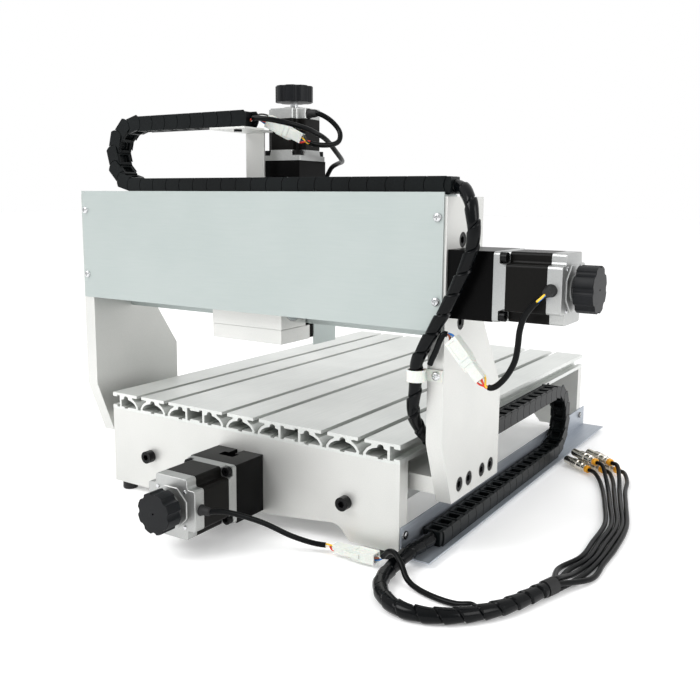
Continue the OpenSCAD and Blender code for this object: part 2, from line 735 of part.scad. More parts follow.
module z_back_plate() color(black) translate(home) difference() {
    union() {
        translate([-carriage_half, back_plate_y, z_foot_bottom])
            cube([carriage_w, back_plate_t, block_top - z_foot_bottom]);
        translate([-carriage_half, back_plate_y, z_foot_bottom])
            cube([carriage_w, z_foot_far - back_plate_y, z_foot_t]);
    }
    translate([0, z_axis_y, z_foot_bottom - eps]) {
        cylinder(r = z_journal_d / 2 + 1, h = z_foot_t + 1);
        translate([0, 0, z_foot_t - bearing_t + 0.01])
            cylinder(r = z_bearing_d / 2 + fit, h = bearing_t + 1);
    }
}

module z_shafts() color(steel) translate(home)
    for (sx = [-1, 1]) translate([sx * z_shaft_x, z_axis_y, z_foot_bottom + z_foot_t])
        cylinder(d = z_shaft_d, h = block_top - z_foot_bottom - z_foot_t);

module z_side_covers() color(sheet_grey) translate(home)
    for (x = [-carriage_half - sheet_t, carriage_half])
        translate([x, back_plate_y + 5, z_cover_bottom])
            cube([sheet_t, z_foot_far - back_plate_y - 7, plate_top - z_cover_bottom]);

module chain_bracket() color(sheet_grey) translate(home) {
    shelf_z = x_upper_z - bracket_t;
    difference() {
        translate([x_chain_end - 45, x_chain_y, shelf_z])
            cube([43, bracket_y + bracket_t - x_chain_y, bracket_t]);
        translate([x_chain_end - 12, x_chain_y + 30, shelf_z - 1]) cube([20, 60, 10]);
    }
    translate([x_chain_end - 45, bracket_y, plate_top])
        cube([23, bracket_t, shelf_z - plate_top + 1]);
    translate([x_chain_end - 45, bracket_y - 12, plate_top]) cube([23, 14, bracket_t]);
}

module carriage_screws() color(black) translate(home) {
    z_frame() stepper_screws(z_motor_w);
    translate([x_chain_end - 18, x_chain_y + 10, x_upper_z - bracket_t])
        rotate([180, 0, 0]) pan_screw(4, 0);
}

// ---------------------------------------------------------------- Z drive

module z_frame() translate([0, z_axis_y, plate_top + z_housing_l]) children();

module z_housing() color(black) translate(home)
    z_frame() rotate(180) coupling_housing(z_motor_w, z_housing_l);
module z_motor() color(black) translate(home)
    z_frame() stepper(z_motor_w, z_stator_end, z_motor_l);
module z_motor_shaft() color(steel) translate(home)
    z_frame() motor_line(z_motor_l, z_housing_l, knob_gap + knob_t * 0.6);
module z_knob() color(knob_black) translate(home)
    z_frame() translate([0, 0, z_motor_l + knob_gap]) hand_knob(knob_d, knob_t);

module z_screw() color(steel) translate(home) translate([0, z_axis_y, 0]) {
    translate([0, 0, z_foot_bottom + z_foot_t + 1])
        cylinder(d = z_shaft_d, h = block_top - z_foot_bottom - z_foot_t - 2);
    translate([0, 0, z_foot_bottom + 1])
        cylinder(d = z_journal_d, h = plate_top + 2 - z_foot_bottom);
    translate([0, 0, plate_top + 1.5]) cylinder(d = journal_d, h = z_housing_l / 2 - 2.5);
}

module z_screw_bearings() color(steel) translate(home)
    for (z = [z_foot_bottom + z_foot_t - bearing_t, block_top])
        translate([0, z_axis_y, z]) bearing_ring(z_journal_d, z_bearing_d, bearing_t);

// ---------------------------------------------------------------- Z slide and spindle

// Slide block with its two bushes and nut, and the split clamp for the spindle.
module z_slide_block() color(plate_grey) translate(home) {
    difference() {
        translate([-slide_half, slide_near, slide_top - slide_h])
            cube([2 * slide_half, spindle_y + spindle_r + clamp_wall - slide_near, slide_h]);
        translate([0, spindle_y, slide_top - slide_h - eps])
            cylinder(r = spindle_r + fit, h = slide_h + 2 * eps);
        translate([-clamp_slit / 2, spindle_y, slide_top - slide_h - eps])
            cube([clamp_slit, spindle_r + clamp_wall + 1, slide_h + 2 * eps]);
        for (sx = [-1, 1]) translate([sx * z_shaft_x, z_axis_y, slide_top - slide_h - eps])
            cylinder(r = z_bush_d / 2 + fit, h = slide_h + 2 * eps);
        translate([0, z_axis_y, slide_top - slide_h - eps])
            cylinder(r = z_bearing_d / 2 + fit, h = slide_h + 2 * eps);
    }
    for (sx = [-1, 1]) translate([sx * z_shaft_x, z_axis_y, slide_top - slide_h])
        bearing_ring(z_shaft_d, z_bush_d, slide_h);
    translate([0, z_axis_y, slide_top - slide_h]) bearing_ring(z_shaft_d, z_bearing_d, slide_h);
}

module spindle_body() color(steel) translate(home) translate([0, spindle_y, 0]) difference() {
    union() {
        translate([0, 0, spindle_bottom])
            cylinder(r = spindle_r, h = spindle_top - spindle_bottom);
        translate([0, 0, spindle_top - 1]) cylinder(d = 16, h = 7);
    }
    translate([0, 0, spindle_bottom - eps]) cylinder(r = 6 + fit, h = 34);
    translate([0, 0, spindle_top - 8]) cylinder(r = lead_d / 2 + hole_gap, h = 20);
}

// Rotor shaft with collet nut; the collet's bore opens downwards.
module spindle_rotor() color(steel) translate(home) translate([0, spindle_y, 0]) difference() {
    union() {
        translate([0, 0, nose_bottom]) cylinder(d = 17, h = 3);
        translate([0, 0, nose_bottom + 2]) cylinder(d = 19, h = 16);
        translate([0, 0, nose_bottom + 17]) cylinder(d = 15, h = spindle_bottom - nose_bottom - 17.3);
        translate([0, 0, nose_bottom + 20]) cylinder(r = 6, h = spindle_bottom - nose_bottom + 10);
    }
    translate([0, 0, nose_bottom - eps]) cylinder(d = collet_d, h = 20);
}

// ---------------------------------------------------------------- cable chains

module along_x() translate([x_loop_x, x_chain_y + chain_w, 0]) rotate(-90) children();

module x_chain_lower() color(chain_black) translate(home)
    translate([0, 0, x_chain_z]) along_x() chain_run(x_chain_right - x_loop_x);
module x_chain_upper() color(chain_black) translate(home)
    translate([0, 0, x_upper_z]) along_x() chain_run(x_chain_end - x_loop_x);
module x_chain_loop() color(chain_black) translate(home)
    translate([x_loop_x, x_chain_y, x_chain_z + chain_h / 2 + x_bend])
        rotate(90) chain_turn(x_bend);

module y_chain_lower() color(chain_black) translate(home)
    translate([y_chain_x, y_chain_start, y_chain_z]) chain_run(y_loop_y - y_chain_start);
module y_chain_upper() color(chain_black) translate(home) {
    translate([y_chain_x, y_upper_start, y_upper_z]) chain_run(y_loop_y - y_upper_start);
    translate([y_chain_x, y_upper_start + 2, cross_top])
        cube([chain_w, 30, y_upper_z - cross_top + 1]);
}
module y_chain_loop() color(chain_black) translate(home)
    translate([y_chain_x, y_loop_y, y_chain_z + chain_h / 2 + y_bend]) chain_turn(y_bend);

// ---------------------------------------------------------------- cords

module tail_sleeve() color(chain_black) translate(home) tube(sleeve_route, sleeve_d);
module tail_cables() color(black) translate(home)
    for (r = cable_routes) tube(r, cable_d);
module tail_plugs() color(nickel) translate(home)
    for (r = cable_routes) translate(r[len(r) - 1] + plug_dir * 0.3) point_along(plug_dir) {
        cylinder(d = plug_neck_d, h = 9);
        translate([0, 0, 8]) cylinder(d = plug_d, h = plug_l - 8);
    }

module y_lead() color(black) translate(home) {
    tube(y_lead_route, lead_d);
    tube(y_link_route, lead_d);
}
module connector(from, to, w, h) {
    v = to - from;
    translate(from) point_along(v) translate([0, 0, 0.2])
        translate([-h / 2, -w / 2, 0]) cube([h, w, norm(v) - 0.4]);
}
module y_connector() color(milk) translate(home) connector([124, -18, 8], [168, -17, 8], 17, 13);
module x_lead() color(black) translate(home) {
    tube(x_lead_route, lead_d);
    tube(x_branch_route, lead_d);
}
module x_connector() color(milk) translate(home)
    connector([256.2, -6, 176.6], [229, -6, 207.2], 12, 15);
module z_lead() color(black) translate(home) {
    tube(z_lead_route, lead_d);
    tube(spindle_lead_route, lead_d);
}
module z_connector() color(milk) translate(home)
    connector([38, 52, 376], [-4, 40, 398], 15, 12);
module harness() color(chain_black) translate(home) tube(harness_route, harness_d);

table_profiles();
end_plates();
y_shafts();
base_screws();
feet();
cable_tray();
y_housing();
y_motor();
y_motor_shaft();
y_screw();
y_knob();
y_nut();
y_screw_bearings();
side_plates();
cross_plate();
y_bearing_blocks();
gantry_screws();
x_shafts();
rear_cover();
front_cover();
cable_clip();
x_housing();
x_motor();
x_motor_shaft();
x_screw();
x_knob();
x_nut();
x_screw_bearings();
carriage_block();
carriage_plates();
z_back_plate();
z_shafts();
z_side_covers();
chain_bracket();
carriage_screws();
z_housing();
z_motor();
z_motor_shaft();
z_screw();
z_knob();
z_screw_bearings();
z_slide_block();
spindle_body();
spindle_rotor();
x_chain_lower();
x_chain_loop();
x_chain_upper();
y_chain_lower();
y_chain_loop();
y_chain_upper();
tail_sleeve();
tail_cables();
tail_plugs();
y_lead();
y_connector();
x_lead();
x_connector();
z_lead();
z_connector();
harness();
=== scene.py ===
import json
import math

import bpy
from mathutils import Matrix, Vector


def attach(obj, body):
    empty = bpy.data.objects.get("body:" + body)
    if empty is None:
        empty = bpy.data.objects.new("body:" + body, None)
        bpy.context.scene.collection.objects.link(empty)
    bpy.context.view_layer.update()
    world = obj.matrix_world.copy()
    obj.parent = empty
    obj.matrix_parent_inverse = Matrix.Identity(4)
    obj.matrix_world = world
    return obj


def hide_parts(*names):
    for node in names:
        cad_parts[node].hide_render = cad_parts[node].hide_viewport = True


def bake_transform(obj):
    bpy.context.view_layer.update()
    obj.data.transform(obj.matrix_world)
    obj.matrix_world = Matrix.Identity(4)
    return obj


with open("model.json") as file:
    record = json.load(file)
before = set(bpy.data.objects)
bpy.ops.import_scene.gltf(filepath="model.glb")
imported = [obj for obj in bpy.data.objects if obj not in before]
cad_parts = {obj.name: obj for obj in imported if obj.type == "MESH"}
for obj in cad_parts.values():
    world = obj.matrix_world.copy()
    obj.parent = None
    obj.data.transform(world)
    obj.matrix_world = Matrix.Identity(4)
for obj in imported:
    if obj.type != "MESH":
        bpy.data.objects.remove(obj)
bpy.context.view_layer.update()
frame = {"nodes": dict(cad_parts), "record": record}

MM = 0.001
# The machine is drawn from the table's near edge and centre line; the row's origin lies
# under the middle of its outer box.
HOME = Vector((-59.5, -208.0, 0.0))
UP = Vector((0, 0, 1))


def at(x, y, z):
    """A point of the machine, given in millimetres from the table's near edge."""
    return (Vector((x, y, z)) + HOME) * MM


# ------------------------------------------------------------------ camera

YAW, PITCH, ROLL = math.radians(32.391), math.radians(8.598), math.radians(0.468)
LOOK = Vector((-math.sin(YAW) * math.cos(PITCH), math.cos(YAW) * math.cos(PITCH), -math.sin(PITCH)))
LEVEL = Vector((math.cos(YAW), math.sin(YAW), 0))
RISE = LEVEL.cross(LOOK)
CAM_X = LEVEL * math.cos(ROLL) + RISE * math.sin(ROLL)
CAM_Y = -LEVEL * math.sin(ROLL) + RISE * math.cos(ROLL)
bpy.ops.object.camera_add(location=at(517.4, -615.1, 319.5))
camera = bpy.context.object
camera.rotation_mode = "QUATERNION"
camera.rotation_quaternion = Matrix((CAM_X, CAM_Y, -LOOK)).transposed().to_quaternion()
camera.data.sensor_width = 36
camera.data.lens = 42.876
# The lens sits a little low against the sheet, which keeps the uprights upright.
camera.data.shift_y = -0.0361
camera.data.clip_start, camera.data.clip_end = 0.05, 60
bpy.context.scene.camera = camera

# ------------------------------------------------------------------ materials


def linear(code):
    """An sRGB hex value as linear RGBA."""
    parts = [int(code[i : i + 2], 16) / 255 for i in (1, 3, 5)]
    return [v / 12.92 if v <= 0.04045 else ((v + 0.055) / 1.055) ** 2.4 for v in parts] + [1]


def add(material, kind, settings=None, **links):
    """Adds a node, sets its properties and inputs by name or number, and links its inputs."""
    node = material.node_tree.nodes.new(kind)
    for key, value in (settings or {}).items():
        if isinstance(key, str) and hasattr(node, key):
            setattr(node, key, value)
        else:
            node.inputs[key].default_value = value
    for key, output in links.items():
        name = int(key[1:]) if key[0] == "i" and key[1:].isdigit() else key.replace("_", " ")
        material.node_tree.links.new(output, node.inputs[name])
    return node


def surface(name, settings):
    """A new material with its shader; returns both and the object coordinates."""
    material = bpy.data.materials.new(name)
    material.use_nodes = True
    material.node_tree.nodes.clear()
    shader = add(material, "ShaderNodeBsdfPrincipled", settings)
    add(material, "ShaderNodeOutputMaterial", Surface=shader.outputs["BSDF"])
    place = add(material, "ShaderNodeTexCoord").outputs["Object"]
    return material, shader, place


def finish(name, tones, grain_mm, stretch=(1, 1, 1), bump_mm=0.02, rough=(0.4, 0.5), **settings):
    """A finish of two tones whose grain also drives its roughness and relief."""
    material, shader, place = surface(name, {k.replace("_", " "): v for k, v in settings.items()})
    links = material.node_tree.links
    turned_place = add(material, "ShaderNodeMapping", {"Scale": stretch}, Vector=place).outputs[0]
    grain = add(
        material,
        "ShaderNodeTexNoise",
        {"Scale": 1 / (grain_mm * MM), "Detail": 3.0, "Roughness": 0.6},
        Vector=turned_place,
    ).outputs["Fac"]
    patch = add(
        material, "ShaderNodeTexNoise", {"Scale": 14.0, "Detail": 2.0}, Vector=place
    ).outputs["Fac"]
    both = add(
        material, "ShaderNodeMath", {"operation": "ADD"}, i0=grain, i1=patch
    ).outputs[0]
    blend = add(
        material,
        "ShaderNodeMapRange",
        {"From Min": 0.7, "From Max": 1.3, "To Min": 0.0, "To Max": 1.0},
        Value=both,
    ).outputs[0]
    tone = add(
        material,
        "ShaderNodeMix",
        {"data_type": "RGBA", 6: linear(tones[0]), 7: linear(tones[1])},
        Factor=blend,
    ).outputs[2]
    links.new(tone, shader.inputs["Base Color"])
    roughness = add(
        material, "ShaderNodeMapRange", {"To Min": rough[0], "To Max": rough[1]}, Value=grain
    ).outputs[0]
    links.new(roughness, shader.inputs["Roughness"])
    relief = add(
        material,
        "ShaderNodeBump",
        {"Strength": 0.5, "Distance": bump_mm * MM},
        Height=grain,
    ).outputs[0]
    links.new(relief, shader.inputs["Normal"])
    return material


# Milled aluminium plate, bead blasted and clear anodised: an even, fine, pale grain.
PLATE = finish(
    "blasted_aluminium_plate", ("#CFD0CD", "#DADAD7"), 0.9, Metallic=0.75, rough=(0.42, 0.52)
)
# Extruded aluminium, clear anodised: faint die lines that run along the profile.
EXTRUSION = finish(
    "extruded_aluminium", ("#CDD0CD", "#DFE1DE"), 1.2, (1, 0.02, 1), 0.015, (0.36, 0.46), Metallic=0.6
)
# Galvanised sheet under a satin lacquer: cool, slightly green, faintly rolled.
COVER_SHEET = finish(
    "lacquered_galvanised_sheet", ("#B0B9B7", "#B5BDBB"), 1.6, (0.05, 1, 1), 0.004, (0.48, 0.5),
    Metallic=0.65,
)
# Bent zinc-plated sheet: pale and a little blue.
TRAY_SHEET = finish(
    "zinc_plated_sheet", ("#9CA3AC", "#B2B8C0"), 1.4, (1, 0.04, 1), 0.015, (0.35, 0.5), Metallic=0.7
)
# Ground and polished bearing steel: bright, with fine marks round it.
GROUND_STEEL = finish(
    "ground_bearing_steel", ("#AEB0B2", "#C9CBCC"), 0.8, (1, 0.1, 1), 0.005, (0.16, 0.26),
    Metallic=1.0,
)
# Rolled ball screw: darker than the shafts, lightly oiled.
SCREW_STEEL = finish(
    "rolled_screw_steel", ("#85878A", "#A9ABAD"), 0.7, (1, 1, 1), 0.008, (0.2, 0.34), Metallic=1.0
)
# Turned stainless steel of the spindle's shell: its marks run round the axis.
SHELL_STEEL = finish(
    "turned_stainless_steel", ("#9DA0A3", "#BFC1C3"), 0.6, (0.06, 0.06, 1), 0.01, (0.24, 0.36),
    Metallic=1.0,
)
# Black oxide on alloy steel: near black with a dull oily sheen.
BLACK_OXIDE = finish(
    "black_oxide_steel", ("#060607", "#101011"), 0.5, bump_mm=0.01, rough=(0.26, 0.4),
    Specular_IOR_Level=0.16,
)
# Black anodised aluminium of the coupling housings and the Z back plate: deep black, satin.
BLACK_ANODISED = finish(
    "black_anodised_aluminium", ("#010101", "#040405"), 0.8, bump_mm=0.015, rough=(0.26, 0.4),
    Specular_IOR_Level=0.07,
)
# Die-cast aluminium bells, machined on their faces: grey with a fine skin.
CAST_BELL = finish(
    "die_cast_aluminium", ("#A4A6A6", "#BDBEBC"), 0.9, bump_mm=0.05, rough=(0.3, 0.44), Metallic=0.9
)
# Glass-filled nylon of the knobs: black, faintly grainy.
KNOB_NYLON = finish(
    "glass_filled_nylon", ("#0C0D0F", "#16181B"), 0.9, bump_mm=0.05, rough=(0.34, 0.5),
    Specular_IOR_Level=0.16,
)
# Injection moulded nylon of the cable chains: charcoal with a soft sheen.
CHAIN_NYLON = finish(
    "moulded_chain_nylon", ("#060809", "#101415"), 1.1, bump_mm=0.03, rough=(0.3, 0.44),
    Specular_IOR_Level=0.13,
)
# PVC cable sheath: black, smooth, slightly soft in its shine.
SHEATH = finish(
    "black_pvc_sheath", ("#020304", "#07090A"), 1.3, bump_mm=0.02, rough=(0.26, 0.38),
    Specular_IOR_Level=0.12,
)
# Polyethylene spiral wrap: black and glossier than the cable.
WRAP = finish(
    "polyethylene_wrap", ("#020304", "#07090B"), 1.5, bump_mm=0.02, rough=(0.16, 0.26),
    Specular_IOR_Level=0.14,
)
# Natural nylon of the plug housings: milky white, light passes a little way in.
MILKY_NYLON = finish(
    "natural_nylon", ("#CDD1CB", "#DFE2DC"), 1.2, bump_mm=0.02, rough=(0.28, 0.4),
    Subsurface_Weight=0.15, Subsurface_Scale=0.002,
)
# Bright nickel plate over turned brass: a warm mirror with a slight haze.
NICKEL = finish(
    "nickel_plated_brass", ("#D8D2C6", "#EFEAE0"), 0.8, bump_mm=0.004, rough=(0.1, 0.18), Metallic=1.0
)
# Yellow moulded ring of the round plugs: strong colour under a plain plastic shine.
YELLOW_RING = finish("yellow_abs", ("#E79A12", "#F8BD36"), 0.9, bump_mm=0.01, rough=(0.3, 0.42))
# Vulcanised rubber of the feet and cable grommets: matt black.
RUBBER = finish("vulcanised_rubber", ("#060607", "#0E0F10"), 1.0, bump_mm=0.05, rough=(0.6, 0.75))
# Chromate on small steel screws: bright zinc.
ZINC_SCREW = finish(
    "zinc_plated_screw", ("#B9BBBD", "#D9DADB"), 0.5, bump_mm=0.01, rough=(0.2, 0.32), Metallic=1.0
)
# Thin PVC insulation of single wires: plain bright colours with a soft shine.
WIRES = {
    name: finish("wire_pvc_" + name, tones, 0.8, bump_mm=0.01, rough=(0.32, 0.44))
    for name, tones in {
        "red": ("#C9251C", "#E03A26"),
        "blue": ("#1F5FA8", "#2F7CCB"),
        "yellow": ("#E8B41A", "#F7CF3C"),
        "black": ("#141414", "#222222"),
        "brown": ("#7A3D1E", "#965030"),
        "white": ("#DADAD6", "#EEEEEA"),
    }.items()
}


# Laminations are 0.5 mm thick, too fine to show, so they are drawn coarser.
LAMINATION_MM = 1.6


def laminated():
    """Stator stack: black-painted steel laminations that catch the light as fine lines."""
    material, shader, place = surface("painted_stator_laminations", {"Specular IOR Level": 0.1})
    links = material.node_tree.links
    lines = add(
        material,
        "ShaderNodeTexWave",
        {"bands_direction": "X", "Scale": 1 / (LAMINATION_MM * MM * math.tau), "Distortion": 0.2},
        Vector=place,
    ).outputs["Fac"]
    speck = add(
        material, "ShaderNodeTexNoise", {"Scale": 900.0, "Detail": 2.0}, Vector=place
    ).outputs["Fac"]
    tone = add(
        material,
        "ShaderNodeMix",
        {"data_type": "RGBA", 6: linear("#080808"), 7: linear("#131210")},
        Factor=speck,
    ).outputs[2]
    links.new(tone, shader.inputs["Base Color"])
    rough = add(
        material, "ShaderNodeMapRange", {"To Min": 0.3, "To Max": 0.44}, Value=speck
    ).outputs[0]
    links.new(rough, shader.inputs["Roughness"])
    relief = add(
        material, "ShaderNodeBump", {"Strength": 0.25, "Distance": 0.05 * MM}, Height=lines
    ).outputs[0]
    links.new(relief, shader.inputs["Normal"])
    return material


STATOR = laminated()

# ------------------------------------------------------------------ modelling by operators


def clear_selection():
    if bpy.context.mode != "OBJECT":
        bpy.ops.object.mode_set(mode="OBJECT")
    bpy.ops.object.select_all(action="DESELECT")


def only(piece):
    """Makes one piece the selected and active one."""
    clear_selection()
    piece.select_set(True)
    bpy.context.view_layer.objects.active = piece
    return piece


def edit(piece):
    only(piece)
    bpy.ops.object.mode_set(mode="EDIT")
    bpy.ops.mesh.select_mode(type="FACE")
    bpy.ops.mesh.select_all(action="DESELECT")


def pick(piece, test):
    """Selects the faces of a piece in edit mode whose centre and normal pass a test."""
    bpy.ops.object.mode_set(mode="OBJECT")
    for face in piece.data.polygons:
        face.select = bool(test(face.center, face.normal))
    bpy.ops.object.mode_set(mode="EDIT")


def done(piece):
    bpy.ops.object.mode_set(mode="OBJECT")
    return piece


def bevelled(piece, width_mm, segments=2, angle=30):
    only(piece)
    bevel = piece.modifiers.new("edge", "BEVEL")
    bevel.width = width_mm * MM
    bevel.segments = segments
    bevel.limit_method = "ANGLE"
    bevel.angle_limit = math.radians(angle)
    bpy.ops.object.modifier_apply(modifier=bevel.name)
    return piece


def smooth(piece, angle=35):
    only(piece)
    bpy.ops.object.shade_smooth_by_angle(angle=math.radians(angle))
    # Large flats keep their own direction, so light runs straight across them.
    flats = piece.modifiers.new("flats", "WEIGHTED_NORMAL")
    flats.keep_sharp = True
    bpy.ops.object.modifier_apply(modifier=flats.name)
    return piece


def block(name, low, high):
    """A cube primitive between two corners in millimetres of its own frame."""
    clear_selection()
    bpy.ops.mesh.primitive_cube_add(size=1)
    piece = bpy.context.object
    piece.name = name
    piece.scale = [(b - a) * MM for a, b in zip(low, high)]
    piece.location = [(a + b) / 2 * MM for a, b in zip(low, high)]
    bpy.ops.object.transform_apply(location=True, rotation=True, scale=True)
    return piece


def turned(name, profile, sides=32):
    """A round piece along +Z: a disc drawn out and resized through (radius, height) in mm."""
    clear_selection()
    r0, z0 = profile[0]
    bpy.ops.mesh.primitive_circle_add(
        vertices=sides, radius=r0 * MM, fill_type="NGON", location=(0, 0, z0 * MM)
    )
    piece = bpy.context.object
    piece.name = name
    bpy.ops.object.transform_apply(location=True, rotation=True, scale=True)
    bpy.ops.object.mode_set(mode="EDIT")
    bpy.ops.mesh.select_all(action="SELECT")
    last_r, last_z = r0, z0
    for r, z in profile[1:]:
        bpy.ops.mesh.extrude_region_move(
            TRANSFORM_OT_translate={"value": (0, 0, (z - last_z) * MM)}
        )
        if r != last_r:
            bpy.ops.transform.resize(value=(r / last_r, r / last_r, 1))
        last_r, last_z = r, z
    bpy.ops.mesh.select_all(action="SELECT")
    bpy.ops.mesh.normals_make_consistent(inside=False)
    return done(piece)


def joined(pieces, name):
    clear_selection()
    for piece in pieces:
        piece.select_set(True)
    bpy.context.view_layer.objects.active = pieces[0]
    if len(pieces) > 1:
        bpy.ops.object.join()
    pieces[0].name = name
    return pieces[0]


def copy_of(piece, name, matrix):
    """A copy with its own mesh, put in its place by a matrix."""
    new = bpy.data.objects.new(name, piece.data.copy())
    bpy.context.scene.collection.objects.link(new)
    new.data.transform(matrix)
    return new


def discard(*pieces):
    for piece in pieces:
        bpy.data.objects.remove(piece)


def frame_at(origin, forward, side=UP):
    """Matrix that stands a piece's +Z along forward with its +Y near side, at a point."""
    z = Vector(forward).normalized()
    x = Vector(side).cross(z)
    if x.length < 1e-6:
        x = Vector((0, 1, 0)).cross(z)
    x.normalize()
    y = z.cross(x)
    m = Matrix((x, y, z)).transposed().to_4x4()
    m.translation = origin
    return m


def paint(piece, material):
    piece.data.materials.clear()
    piece.data.materials.append(material)
    return piece


def settle(piece, body, material, slot, *nodes):
    """Gives a finished piece its material, its body and the CAD nodes it stands for."""
    if material is not None:
        paint(piece, material)
    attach(piece, body)
    if nodes:
        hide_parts(*nodes)
    return piece


BODY = {n: b for b, ns in frame["record"]["behaviour"]["bodies"].items() for n in ns}
SLOT = {s["node"]: s["material_slot"] for s in frame["record"]["subparts"]}


def machined(node, name, width_mm, segments=2):
    """A copy of a CAD node with merged faces and broken edges."""
    clear_selection()
    source = frame["nodes"][node]
    piece = bpy.data.objects.new(name, source.data.copy())
    bpy.context.scene.collection.objects.link(piece)
    only(piece)
    if piece.data.has_custom_normals:
        bpy.ops.mesh.customdata_custom_splitnormals_clear()
    edit(piece)
    bpy.ops.mesh.select_all(action="SELECT")
    bpy.ops.mesh.remove_doubles(threshold=1e-6)
    bpy.ops.mesh.dissolve_limited(angle_limit=math.radians(0.6))
    done(piece)
    if width_mm:
        bevelled(piece, width_mm, segments)
    return smooth(piece)


def loose_parts(piece):
    only(piece)
    bpy.ops.object.mode_set(mode="EDIT")
    bpy.ops.mesh.select_all(action="SELECT")
    bpy.ops.mesh.separate(type="LOOSE")
    bpy.ops.object.mode_set(mode="OBJECT")
    return list(bpy.context.selected_objects)


def middle(piece):
    co = [v.co for v in piece.data.vertices]
    return sum(co, Vector()) / len(co)


def plain(node, name, width_mm, material, segments=2):
    return settle(machined(node, name, width_mm, segments), BODY[node], material, SLOT[node], node)


# ------------------------------------------------------------------ cords and wires


def rounded_route(points, step=2.0):
    """Points in mm, joined by a smooth curve and sampled about every step, in row metres."""
    p = [Vector(q) for q in points]
    p = [p[0] * 2 - p[1]] + p + [p[-1] * 2 - p[-2]]
    out = []
    for i in range(1, len(p) - 2):
        a, b, c, d = p[i - 1 : i + 3]
        n = max(2, int((c - b).length / step))
        for k in range(n):
            t = k / n
            out.append(
                0.5
                * (
                    2 * b
                    + (c - a) * t
                    + (2 * a - 5 * b + 4 * c - d) * t * t
                    + (3 * b - a - 3 * c + d) * t**3
                )
            )
    out.append(p[-2])
    return [(q + HOME) * MM for q in out]


def even(path, step):
    """The same path in metres with its points evenly spaced, step in mm."""
    marks = [0.0]
    for a, b in zip(path, path[1:]):
        marks.append(marks[-1] + (b - a).length)
    n = max(2, round(marks[-1] / (step * MM)))
    out, j = [], 0
    for k in range(n + 1):
        s = marks[-1] * k / n
        while j < len(path) - 2 and marks[j + 1] < s:
            j += 1
        span = marks[j + 1] - marks[j]
        out.append(path[j].lerp(path[j + 1], (s - marks[j]) / span if span else 0))
    return out


def cut_back(path, start_mm=0.0, end_mm=0.0):
    """The path with a length taken off either end."""
    path = even(path, 1.0)
    a, b = round(start_mm), round(end_mm)
    return path[a : len(path) - b]


def tube(name, path, radius_mm, sides=12, wave=None):
    """A closed tube along a path; wave(s_mm, turn) changes the radius along and round it."""
    tangents = [
        (path[min(i + 1, len(path) - 1)] - path[max(i - 1, 0)]).normalized()
        for i in range(len(path))
    ]
    u = tangents[0].cross(UP)
    if u.length < 0.3:
        u = tangents[0].cross(Vector((0, 1, 0)))
    u.normalize()
    verts, faces, s = [], [], 0.0
    for i, point in enumerate(path):
        t = tangents[i]
        u = (u - t * u.dot(t)).normalized()
        v = t.cross(u)
        if i:
            s += (point - path[i - 1]).length / MM
        for k in range(sides):
            turn = k / sides
            r = (wave(s, turn) if wave else radius_mm) * MM
            verts.append(point + (u * math.cos(turn * math.tau) + v * math.sin(turn * math.tau)) * r)
    for i in range(len(path) - 1):
        for k in range(sides):
            a, b = i * sides + k, i * sides + (k + 1) % sides
            faces.append((a, b, b + sides, a + sides))
    faces.append(tuple(range(sides - 1, -1, -1)))
    faces.append(tuple((len(path) - 1) * sides + k for k in range(sides)))
    mesh = bpy.data.meshes.new(name)
    mesh.from_pydata(verts, [], faces)
    mesh.validate()
    piece = bpy.data.objects.new(name, mesh)
    bpy.context.scene.collection.objects.link(piece)
    return smooth(piece, 50)


# A band of spiral wrap: how far it sinks across its width, the depth and share of the seam
# between two turns, and the depth and share of its rounded edge.
LAP_MM = 1.1
SEAM_MM, SEAM_SHARE = 1.7, 0.07
EDGE_MM, EDGE_SHARE = 0.4, 0.03


def spiral_wrap(outer_mm, pitch_mm):
    """Radius of a flat band wound round a bundle, each turn lapping a little over the last."""

    def wave(s, turn):
        phase = (s / pitch_mm - turn) % 1.0
        if phase > 1 - SEAM_SHARE:
            return outer_mm - SEAM_MM
        edge = max(0.0, 1 - phase / EDGE_SHARE)
        return outer_mm - LAP_MM * phase - EDGE_MM * edge

    return wave


def declare(path):
    [tuple(p) for p in even(path, 2.0)]


def wire_fan(name, body, start, start_dir, end, end_dir, colours, spread_mm, side):
    """Thin wires that leave a sheath together and enter a plug side by side."""
    made = []
    side = Vector(side).normalized()
    lift = Vector(end_dir).normalized().cross(side)
    for i, colour in enumerate(colours):
        k = i - (len(colours) - 1) / 2
        ring = i / len(colours) * math.tau
        a = start + (side * math.cos(ring) + lift * math.sin(ring)) * 1.2 * MM
        b = end + side * k * spread_mm * MM + lift * (1.4 if i % 2 else -1.4) * MM
        reach = (b - a).length * 0.4
        c1 = a + Vector(start_dir).normalized() * reach
        c2 = b - Vector(end_dir).normalized() * reach
        path = [
            a * (1 - t) ** 3 + c1 * 3 * t * (1 - t) ** 2 + c2 * 3 * t * t * (1 - t) + b * t**3
            for t in [n / 10 for n in range(11)]
        ]
        piece = tube(name + "_" + colour + str(i), path, 0.85, 8)
        made.append(settle(piece, body, WIRES[colour], "cable_black"))
    return made


